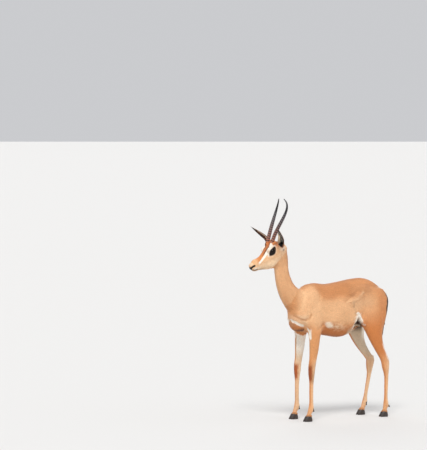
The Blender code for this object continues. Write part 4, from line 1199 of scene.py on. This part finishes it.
def blade_patch(rows):
    """Where a blade's points lie on the sheet, from the middle of its patch."""
    patch = np.zeros((2 * rows - 1, 2))
    for row in range(rows):
        share = row / (rows - 1) - 0.5
        patch[2 * row] = (-PATCH / 2 * (row < rows - 1), share * PATCH)
        if row < rows - 1:
            patch[2 * row + 1] = (PATCH / 2, share * PATCH)
    return patch


print("a blade of three rows has", len(blade_patch(3)), "points")

# %% Grow tufts
# blades are painted paler toward the tip: painted light that offsets the shade they cast on the skin
ROOT_TONE, TIP_TONE = 0.95, 1.08
TONE_SCATTER = 0.07  # how much blades differ in tone
NORMAL_SCATTER = (0.22, 0.12)  # how much normals lean across and along the hair


def grow(name, roots, outward, lie, length, width, lift, colours, rows=3, spread=0.16):
    """Joins thin blades into one piece: each tapers to a point and lifts off the skin toward its tip."""
    count = len(roots)
    length = np.broadcast_to(length, (count,))[:, None]
    width = np.broadcast_to(width, (count,))[:, None]
    turn = draw.normal(0.0, spread, count)[:, None]
    lie = lie * np.cos(turn) + np.cross(outward, lie) * np.sin(turn)
    points = blade_points(roots, outward, lie, length, width, lift, rows)
    mesh, corners = blade_mesh(name, points, rows)
    piece = bpy.data.objects.new(name, mesh)
    bpy.context.scene.collection.objects.link(piece)
    tone = (1 + draw.normal(0, TONE_SCATTER, count))[:, None]
    by_point = []
    for row in range(rows):
        shade = ROOT_TONE + (TIP_TONE - ROOT_TONE) * row / (rows - 1)
        by_point += [colours * tone * shade] * (2 if row < rows - 1 else 1)
    set_colours(piece, "coat", np.clip(np.stack(by_point, axis=1).reshape(-1, 3), DARKEST, PALEST))
    on_sheet = (unrolled(roots)[:, None, :] + blade_patch(rows)).reshape(-1, 2)
    layer = mesh.uv_layers.new(name="OFBake")
    layer.data.foreach_set("uv", on_sheet[corners].astype(np.float32).ravel())
    leaned = outward + np.cross(outward, lie) * draw.normal(0.0, NORMAL_SCATTER[0], count)[:, None]
    leaned = leaned + lie * draw.normal(0.0, NORMAL_SCATTER[1], count)[:, None]
    leaned /= np.linalg.norm(leaned, axis=1)[:, None]
    mesh.normals_split_custom_set_from_vertices(np.repeat(leaned, points.shape[1], axis=0))
    mesh.materials.append(HAIR)
    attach(piece, "root")
    print(name, "has", count, "tufts and", count * (2 * rows - 3), "triangles")
    return piece


print("tufts can be grown")

# %% [markdown]
# Hair keeps off the eyes, the nose, the lips, the horns and the hooves. From the neck on to the head it
# grows shorter and finer, and it is shortest at the nose. A tuft takes the colour of the coat a little
# way along it, so that the edge of a marking looks combed.

# %% Tufts of every part
HAIR = tuft_material()
HOOF_TOP = 0.036
TUFTS = {  # for each part its tufts, and their length, width and lift
    "torso": (60000, 0.0100, 0.00145, 0.13),
    "neck": (18000, 0.0085, 0.00125, 0.13),
    "head": (26000, 0.0046, 0.00080, 0.09),
    "ear_left": (3600, 0.0058, 0.00080, 0.12),
    "ear_right": (3600, 0.0058, 0.00080, 0.12),
    "fore_left": (6500, 0.0058, 0.00100, 0.10),
    "fore_right": (6500, 0.0058, 0.00100, 0.10),
    "hind_left": (11000, 0.0072, 0.00115, 0.12),
    "hind_right": (11000, 0.0072, 0.00115, 0.12),
    "tail": (2600, 0.0110, 0.00110, 0.20),
}
eye_spots = [np.array(eye_ways(side)[0]) for _, side in SIDES]
clear_of_eyes = np.min([np.linalg.norm(middles - spot, axis=1) for spot in eye_spots], axis=0)
bare = (clear_of_eyes < EYE_RADIUS + 0.0045)
back, rise, across = in_head(middles)
bare |= (triangle_part == HEAD) & (back < 0.010) & (np.abs(across) < 0.015) & (rise < 0.003)
for _, side in SIDES:
    bare |= along_line(middles, horn_middles(side, 12)) < HORN_ROOT_RADIUS * 1.02
    bare |= (triangle_part == HEAD) & (along_line(middles, mouth_line(side)) < 0.0030)
bare |= middles[:, 2] < HOOF_TOP
_, neck_length, neck_width, _ = TUFTS["neck"]
_, head_length, head_width, _ = TUFTS["head"]
for name, (count, length, width, lift) in TUFTS.items():
    index = PARTS.index(name)
    roots, outward = draw_roots(count, (triangle_part == index) * ~bare)
    lie = hair_lie(roots, outward)
    if index in (NECK, HEAD):
        share = head_share(roots)
        back, _, _ = in_head(roots)
        toward_nose = 0.45 + 0.55 * step(0.0, 0.12, back)
        length = neck_length * (1 - share) + head_length * share * toward_nose
        width = neck_width * (1 - share) + head_width * share
    varied = length * (0.75 + 0.5 * draw.random(count))
    colours = coat_colours(roots + lie * (0.45 * varied)[:, None], outward)
    grow("hair_" + name, roots, outward, lie, varied, width, lift, colours)

# %% [markdown]
# Horns. A gazelle's horn is a sheath that grew ring by ring, so it is modelled the way it grew: a circle
# is drawn up along a straight line and narrowed, widening a little at each ring, and the straight horn is
# then bent along a curve. It leans back and out, and the smooth tip turns in.

# %% Horns
HORN_RINGS = 15
HORN_RINGED_SHARE = 0.68  # the rings end there, and the tip is smooth
HORN_TIP_RADIUS = 0.0026
HORN_FULLNESS = 2.6  # 1 tapers evenly; more stays thick further up
HORN_BURIED = 0.016  # how far the root goes on under the skin
HORN_SIDES = 28
HORN_OVAL = 0.86  # how wide it is for its depth
HORN_TIP_ROWS = 14
HORN_UNEVENNESS = 0.030
RING_RISE = 0.13  # how far a ring stands out, as a share of the radius
RING_FADE = 0.35  # how much lower the last ring is than the first
# the rows that make one ring: how far up it each lies, and how far it stands out
RING_PROFILE = ((0.00, 0.00), (0.20, 0.10), (0.42, 0.90), (0.58, 1.00), (0.78, 0.35))


def horn_rows(length):
    """Height, radius and ring height of each row of the straight horn, from its buried root up."""
    rows = [(0.0, 0.0)]
    for ring in range(HORN_RINGS):
        for place, height in RING_PROFILE:
            share = (ring + place) / HORN_RINGS * HORN_RINGED_SHARE
            rows.append((share, height * (1 - RING_FADE * ring / HORN_RINGS)))
    for i in range(HORN_TIP_ROWS):
        rows.append((HORN_RINGED_SHARE + (1 - HORN_RINGED_SHARE) * i / (HORN_TIP_ROWS - 1), 0.0))
    made = []
    for index, (share, height) in enumerate(rows):
        radius = HORN_TIP_RADIUS + (HORN_ROOT_RADIUS - HORN_TIP_RADIUS) * (1 - share ** HORN_FULLNESS)
        at = 0.0 if index == 0 else HORN_BURIED + share * (length - HORN_BURIED)
        made.append((at, radius * (1 + RING_RISE * height), height))
    return made


def face_outwards(piece):
    """Turns every face of a closed piece outwards and shades it smooth."""
    only(piece)
    bpy.ops.object.mode_set(mode="EDIT")
    bpy.ops.mesh.select_all(action="SELECT")
    bpy.ops.mesh.normals_make_consistent(inside=False)
    bpy.ops.object.mode_set(mode="OBJECT")
    bpy.ops.object.shade_smooth()


def make_horn(name, side):
    middles = horn_middles(side)
    root_way = (middles[1] - middles[0]).normalized()
    spots = np.array([tuple(middles[0] - root_way * HORN_BURIED)] + [tuple(spot) for spot in middles])
    run = np.concatenate([[0], np.cumsum(np.linalg.norm(np.diff(spots, axis=0), axis=1))])
    length = float(run[-1])
    rows = horn_rows(length)
    bpy.ops.object.select_all(action="DESELECT")
    bpy.ops.mesh.primitive_circle_add(vertices=HORN_SIDES, radius=rows[0][1], fill_type="NGON")
    horn = bpy.context.object
    horn.name = "horn_sheath_" + name
    bpy.ops.object.mode_set(mode="EDIT")
    bpy.ops.mesh.select_all(action="SELECT")
    for (at, radius, _), (next_at, next_radius, _) in zip(rows, rows[1:]):
        bpy.ops.mesh.extrude_region_move(TRANSFORM_OT_translate={"value": (0, 0, next_at - at)})
        grown = next_radius / radius
        bpy.ops.transform.resize(value=(grown, grown, 1), center_override=(0, 0, next_at))
    bpy.ops.object.mode_set(mode="OBJECT")
    points = places(horn)
    at = np.clip(points[:, 2], 0, length)
    share = at / length
    ridge = np.interp(at, [row[0] for row in rows], [row[2] for row in rows])
    points[:, 1] *= HORN_OVAL
    wave = np.array([noise.noise(Vector((p[0] * 160, p[1] * 160, p[2] * 55 + 9 * side))) for p in points])
    points[:, :2] *= (1 + HORN_UNEVENNESS * wave * (share < HORN_RINGED_SHARE))[:, None]
    tangent = np.gradient(spots, axis=0)
    tangent /= np.linalg.norm(tangent, axis=1)[:, None]
    centre = np.stack([np.interp(at, run, spots[:, i]) for i in range(3)], 1)
    ahead = np.stack([np.interp(at, run, tangent[:, i]) for i in range(3)], 1)
    sideways = np.cross(ahead, (1.0, 0.0, 0.0))
    sideways /= np.linalg.norm(sideways, axis=1)[:, None]
    fore = np.cross(sideways, ahead)
    move_to(horn, centre + fore * points[:, :1] + sideways * points[:, 1:2])
    set_values(horn, "along", share)
    set_values(horn, "ridge", ridge)
    face_outwards(horn)
    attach(horn, "root")
    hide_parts("horn_" + name)
    print(horn.name, "is", round(length, 3), "m along its curve, with", len(horn.data.polygons), "faces")
    return horn


# %% [markdown]
# The sheath is reddish at its root and nearly black at its tip. The rings carry a painted highlight, paler
# on each crest, and painted shade, darker in the grooves between them. Fine streaks run up it, and the tip is
# glossier.

# %% Finish of the horns


def horn_material():
    made, tree, shader = new_material("horn_sheath")
    along = attribute(tree, "along")
    tones = ramp(tree, along, (0.05, paint(122, 74, 54)), (0.95, paint(30, 27, 29)),
                 (0.30, paint(92, 62, 54)), (0.50, paint(74, 64, 64)), (0.70, paint(62, 60, 64)))
    grain = stretched_noise(tree, (900.0, 900.0, 70.0), 4.0)
    shade = remap(tree, grain, 0.3, 0.7, 0.6, 1.35)
    # painted highlight on each ring's crest and painted shade in the grooves, scaled from the ring's height
    ring_highlight_and_groove_shade = remap(tree, attribute(tree, "ridge"), 0.0, 1.0, 0.34, 2.9)
    both = add_node(tree, "Math", "Value", {0: shade, 1: ring_highlight_and_groove_shade}, operation="MULTIPLY")
    set_inputs(tree, shader, {
        "Base Color": scaled(tree, tones, both), "Specular IOR Level": 0.45,
        "Roughness": remap(tree, along, 0.0, 1.0, 0.55, 0.32), "Normal": bump(tree, grain, 0.5, 0.0006)})
    return made


HORN = horn_material()
for name, side in SIDES:
    horn = make_horn(name, side)
    horn.data.materials.append(HORN)

# %% [markdown]
# Hooves. Each foot has two pointed claws with a cleft between them. A claw is a cylinder narrowed at
# the toe and leaned back as it rises, with its sharp edges eased. Four feet take eight copies of one claw.

# %% Hooves
HOOF_LENGTH = 0.052
HOOF_HEIGHT = 0.033
CLAW_WIDTH = 0.0185
CLEFT = 0.0024
HEEL_DROP = 0.24  # how much lower the wall is at the heel
CLAW_ROWS = (0, 0.14, 0.60, 1.0)  # heights from the sole to the top, for the lean, heel and width there


def make_claw():
    """One claw, with its toe at -X and its sole at Z = 0, centred on the foot's own place."""
    bpy.ops.object.select_all(action="DESELECT")
    bpy.ops.mesh.primitive_cylinder_add(vertices=32, radius=0.5, depth=1.0, end_fill_type="NGON")
    claw = bpy.context.object
    bpy.ops.object.mode_set(mode="EDIT")
    bpy.ops.mesh.select_all(action="SELECT")
    bpy.ops.transform.translate(value=(0, 0, 0.5))
    bpy.ops.transform.resize(value=(HOOF_LENGTH, CLAW_WIDTH, HOOF_HEIGHT), center_override=(0, 0, 0))
    for height in (0.10, 0.25, 0.45, 0.65, 0.85):
        bpy.ops.mesh.select_all(action="SELECT")
        bpy.ops.mesh.bisect(plane_co=(0, 0, HOOF_HEIGHT * height), plane_no=(0, 0, 1))
    bpy.ops.object.mode_set(mode="OBJECT")
    points = places(claw)
    share = points[:, 2] / HOOF_HEIGHT
    lean = np.interp(share, CLAW_ROWS, (0.0, 0.0, 0.17, 0.34))
    heel = np.interp(share, CLAW_ROWS, (1.0, 1.02, 1.0, 0.96))
    wide = np.interp(share, CLAW_ROWS, (0.94, 1.0, 0.97, 0.88))
    along = points[:, 0] / (HOOF_LENGTH / 2)
    front, rear = -HOOF_LENGTH * (0.62 - lean), HOOF_LENGTH * (heel - 0.62)
    points[:, 0] = (front + rear) / 2 + (rear - front) / 2 * along
    points[:, 1] *= wide * (1 - 0.42 * np.maximum(0, -along) ** 2)
    points[:, 2] *= 1 - HEEL_DROP * step(-0.2, 1.0, along)
    move_to(claw, points)
    return claw


def hoof_material():
    """Dark horn with fine growth lines that run level round the claw."""
    made, tree, shader = new_material("hoof_horn")
    waves = {"Vector": object_place(tree), "Scale": 95.0, "Distortion": 2.5, "Detail": 3.0}
    rings = add_node(tree, "TexWave", "Fac", waves, wave_type="BANDS", bands_direction="Z")
    tones = ramp(tree, rings, (0.0, paint(40, 34, 31)), (1.0, paint(66, 55, 49)))
    set_inputs(tree, shader, {"Base Color": tones, "Roughness": 0.42,
                              "Normal": bump(tree, rings, 0.16, 0.0004)})
    return made


HOOF = hoof_material()
claw = make_claw()
for name, (foot_x, side) in FEET.items():
    pair = []
    for inner in (-1, 1):
        copy = claw.copy()
        copy.data = claw.data.copy()
        bpy.context.scene.collection.objects.link(copy)
        across = side * TRACK / 2 + inner * (CLAW_WIDTH + CLEFT) / 2
        copy.data.transform(Matrix.Translation(body_place(foot_x, across, 0.0)))
        pair.append(copy)
    only(*pair)
    bpy.ops.object.join()
    hoof = bpy.context.object
    hoof.name = "claws_" + name
    sharp = math.radians(50)
    apply_modifier(hoof, "BEVEL", width=0.0010, segments=2, limit_method="ANGLE", angle_limit=sharp)
    bpy.ops.object.shade_smooth_by_angle(angle=math.radians(40))
    hoof.data.materials.clear()
    hoof.data.materials.append(HOOF)
    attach(hoof, "root")
    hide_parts("hoof_" + name)
bpy.data.objects.remove(claw, do_unlink=True)
print("four cloven hooves")

# %% [markdown]
# Where the leg enters the hoof, a fringe of stiffer hair hangs over the horn's upper edge and hides it.
# Each hair starts just above the edge, on an oval round the pastern, and falls outward.

# %% Fringe over the hooves
FRINGE_HAIRS = 420
fringe_roots, fringe_lies, fringe_outward = [], [], []
for foot_x, turn in FEET.values():
    for _ in range(FRINGE_HAIRS):
        angle = 2 * math.pi * draw.random()
        high = draw.random()
        out = Vector((math.cos(angle), math.sin(angle), 0.0))
        long_half = (0.0185 - 0.002 * high) * (1 - 0.38 * max(0.0, out.x))
        oval = Vector((out.x * long_half, out.y * (0.0165 - 0.002 * high), 0.0))
        middle_x = foot_x + 0.0035 + 0.004 * high
        root = body_place(middle_x, turn * TRACK / 2, 0.0340 - 0.005 * max(0.0, out.x) + 0.009 * high) + oval
        fringe_roots.append(tuple(root))
        fringe_lies.append(tuple((out * (0.62 - 0.35 * high) + Vector((-0.10, 0, -0.85))).normalized()))
        fringe_outward.append(tuple((out * 0.6 + Vector((0, 0, 0.8))).normalized()))
fringe_roots, fringe_outward = np.array(fringe_roots), np.array(fringe_outward)
fringe_lengths = 0.0065 + 0.0030 * draw.random(len(fringe_roots))
fringe_tones = np.tile(TAN * 0.80 + BROWN * 0.20, (len(fringe_roots), 1))
grow("hair_fringe", fringe_roots, fringe_outward, np.array(fringe_lies), fringe_lengths, 0.0011, 0.06,
     fringe_tones)

# %% [markdown]
# Eyes. A gazelle's eye is large, dark and wet, with a pupil that lies level like a letter slot. The ball
# is a fine sphere, and its rim is a ring of bare black skin that grips the ball and hides its edge.

# %% Finish of the eyes
PUPIL_HALF_LENGTH = 0.0062
PUPIL_HALF_HEIGHT = 0.0034
PUPIL_EDGE = 0.35  # where on its colour ramp the pupil ends


def eye_material(name, side):
    """Dark brown with a level black pupil, read in the eye's own ways."""
    made, tree, shader = new_material("eye_" + name)
    centre, looks, _, _ = eye_ways(side)
    level_way = Vector((0, 0, 1)).cross(looks).normalized()
    away = add_node(tree, "VectorMath", "Vector", {0: object_place(tree), 1: centre}, operation="SUBTRACT")
    parts = {}
    for entry, way, half in (("X", level_way, PUPIL_HALF_LENGTH),
                             ("Y", looks.cross(level_way), PUPIL_HALF_HEIGHT)):
        reach = {0: away, 1: way / half}
        parts[entry] = add_node(tree, "VectorMath", "Value", reach, operation="DOT_PRODUCT")
    joined = add_node(tree, "CombineXYZ", "Vector", parts)
    length = add_node(tree, "VectorMath", "Value", {0: joined}, operation="LENGTH")
    place = add_node(tree, "Math", "Value", {0: length, 1: PUPIL_EDGE}, operation="MULTIPLY")
    tones = ramp(tree, place, (0.30, (0.002, 0.002, 0.002)), (0.80, (0.010, 0.006, 0.004)),
                 (0.38, (0.018, 0.009, 0.005)))
    set_inputs(tree, shader, {"Base Color": tones, "Roughness": 0.05, "Specular IOR Level": 0.20})
    return made


def rim_material():
    made, tree, shader = new_material("bare_skin")
    grain = add_node(tree, "TexNoise", "Fac", {"Vector": object_place(tree), "Scale": 900.0})
    set_inputs(tree, shader, {"Base Color": (*paint(24, 18, 17), 1), "Roughness": 0.38,
                              "Normal": bump(tree, grain, 0.3, 0.0003)})
    return made


print("eyes and rims have their finishes")

# %% Shape of the lids


def lid_points(torus, ways, centre):
    """Turns a plain torus into lids, in the eye's ways: an almond opening whose rim rolls into the skin."""
    turn = np.arctan2(torus[:, 1], torus[:, 0])
    share = np.clip((np.hypot(torus[:, 0], torus[:, 1]) - 0.5), 0, 1)
    above = torus[:, 2] > 0
    upper = np.maximum(0, np.sin(turn))
    corner = np.abs(np.cos(turn)) ** 6
    inner_long, inner_short = 0.0143, 0.0112 - 0.0010 * upper
    outer_long, outer_short = 0.0215, 0.0178
    long_reach = inner_long + (outer_long - inner_long) * share
    short_reach = inner_short + (outer_short - inner_short) * share
    flat = np.stack([long_reach * np.cos(turn), short_reach * np.sin(turn) * (1 - 0.16 * corner)], 1)
    reach = np.hypot(flat[:, 0], flat[:, 1])
    ball = np.sqrt(np.maximum((EYE_RADIUS + 0.0002) ** 2 - np.minimum(reach, 0.0150) ** 2, 0))
    skin_height = np.empty(len(torus))
    for i, (along, over) in enumerate(flat):
        start = centre + np.array([along, over, 0.035]) @ ways
        hit, place, _, _ = skin.ray_cast(Vector(start), Vector(-ways[2]))
        height = (np.array(place) - centre) @ ways[2] if hit else ball[i]
        skin_height[i] = min(max(height, ball[i] - 0.014), ball[i] + 0.006)
    blend = step(0.15, 1.0, share)
    roll = (0.0013 + 0.0009 * upper) * np.sin(math.pi * np.clip(share * 1.15 + 0.10, 0, 1)) ** 0.7
    fold = 0.0006 * np.exp(-((share - 0.62) / 0.10) ** 2) * (0.4 + upper)
    top = ball * (1 - blend) + (skin_height - 0.0004) * blend + roll * (1 - blend) + 0.0002 - fold
    height = np.where(above, top, top - 0.0022 + 0.0006 * share)
    return np.column_stack([flat, height])


# %% Eyes and their rims
RIM = rim_material()
for name, side in SIDES:
    centre, looks, long_way, short_way = eye_ways(side)
    bpy.ops.object.select_all(action="DESELECT")
    bpy.ops.mesh.primitive_uv_sphere_add(segments=48, ring_count=24, radius=EYE_RADIUS)
    ball = bpy.context.object
    ball.name = "eyeball_" + name
    ball.data.transform(Matrix.Translation(centre) @ looks.to_track_quat("Z", "Y").to_matrix().to_4x4())
    bpy.ops.object.shade_smooth()
    ball.data.materials.append(eye_material(name, side))
    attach(ball, "root")
    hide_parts("eye_" + name)
    bpy.ops.object.select_all(action="DESELECT")
    bpy.ops.mesh.primitive_torus_add(major_segments=72, minor_segments=20, major_radius=1.0, minor_radius=0.5)
    rim = bpy.context.object
    rim.name = "eye_rim_" + name
    ways = np.array([tuple(long_way), tuple(short_way), tuple(looks)])
    move_to(rim, lid_points(places(rim), ways, np.array(centre)) @ ways + np.array(centre))
    face_outwards(rim)
    rim.data.materials.append(RIM)
    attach(rim, "root")
print("two eyes with their rims")

# %% [markdown]
# The tail's tuft. The dock ends in long black hairs that hang to a point. They are rooted all round the
# end of the dock, at random heights, and vary in length.

# %% Tail tuft
TUFT_HAIRS = 700


def tail_middle(height):
    """The middle of the hanging tail at a height."""
    heights = (0.480, 0.540, 0.600, 0.660, 0.720)
    backs = (0.329, 0.342, 0.355, 0.361, 0.361)
    return float(np.interp(height, heights, backs))


roots, lies, faces_out, lengths = [], [], [], []
for _ in range(TUFT_HAIRS):
    height = 0.548 + 0.040 * draw.random()
    angle = 2 * math.pi * draw.random()
    out = Vector((math.cos(angle) * 0.0034, math.sin(angle) * 0.0055, 0.0))
    lower = height - 0.06
    fall = Vector((tail_middle(lower) - tail_middle(height), 0.0, -0.06))
    roots.append(tuple(body_place(tail_middle(height), 0.0, height) + out))
    lies.append(tuple((fall.normalized() - out * 2.0).normalized()))
    faces_out.append(tuple(out.normalized()))
    lengths.append((height - 0.470) * (0.70 + 0.30 * draw.random()))
tuft = grow("tail_tuft_hair", np.array(roots), np.array(faces_out), np.array(lies), np.array(lengths), 0.0020,
            0.005, np.tile(BLACK, (TUFT_HAIRS, 1)), rows=5, spread=0.03)
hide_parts("tail_tuft")

# %% [markdown]
# The studio. A pale floor runs far out, and three broad, soft lights stand round her: a large key from
# the camera's left, a fill from its right, and one from behind and above that edges her back.

# %% Floor and lights
FLOOR_RADIUS = 2500.0


def daylight(name, place, strength, spread):
    """A far, broad lamp that lights the floor evenly; spread is how wide it looks, in degrees."""
    lamp = bpy.data.lights.new(name, "SUN")
    lamp.energy = strength
    lamp.angle = math.radians(spread)
    one = bpy.data.objects.new(name, lamp)
    one.rotation_euler = (-Vector(place)).to_track_quat("-Z", "Y").to_euler()
    bpy.context.scene.collection.objects.link(one)


bpy.ops.object.select_all(action="DESELECT")
bpy.ops.mesh.primitive_circle_add(vertices=96, radius=FLOOR_RADIUS, fill_type="NGON")
floor = bpy.context.object
floor.name = "floor"
floor_finish, tree, shader = new_material("pale_floor")
set_inputs(tree, shader, {"Base Color": (0.72, 0.71, 0.69, 1), "Roughness": 0.8})
floor.data.materials.append(floor_finish)

world = bpy.data.worlds.new("studio")
world.use_nodes = True
sky = world.node_tree.nodes["Background"]
set_inputs(world.node_tree, sky, {"Color": (0.90, 0.91, 0.94, 1), "Strength": 0.66})
bpy.context.scene.world = world
daylight("key", (-0.50, -0.75, 1.05), 2.05, 22.0)
daylight("fill", (0.90, -0.55, 0.45), 0.35, 60.0)
daylight("edge", (0.35, 0.90, 0.80), 0.45, 40.0)
bpy.context.scene.view_settings.view_transform = "Standard"
print("a floor, a soft sky and three lamps")
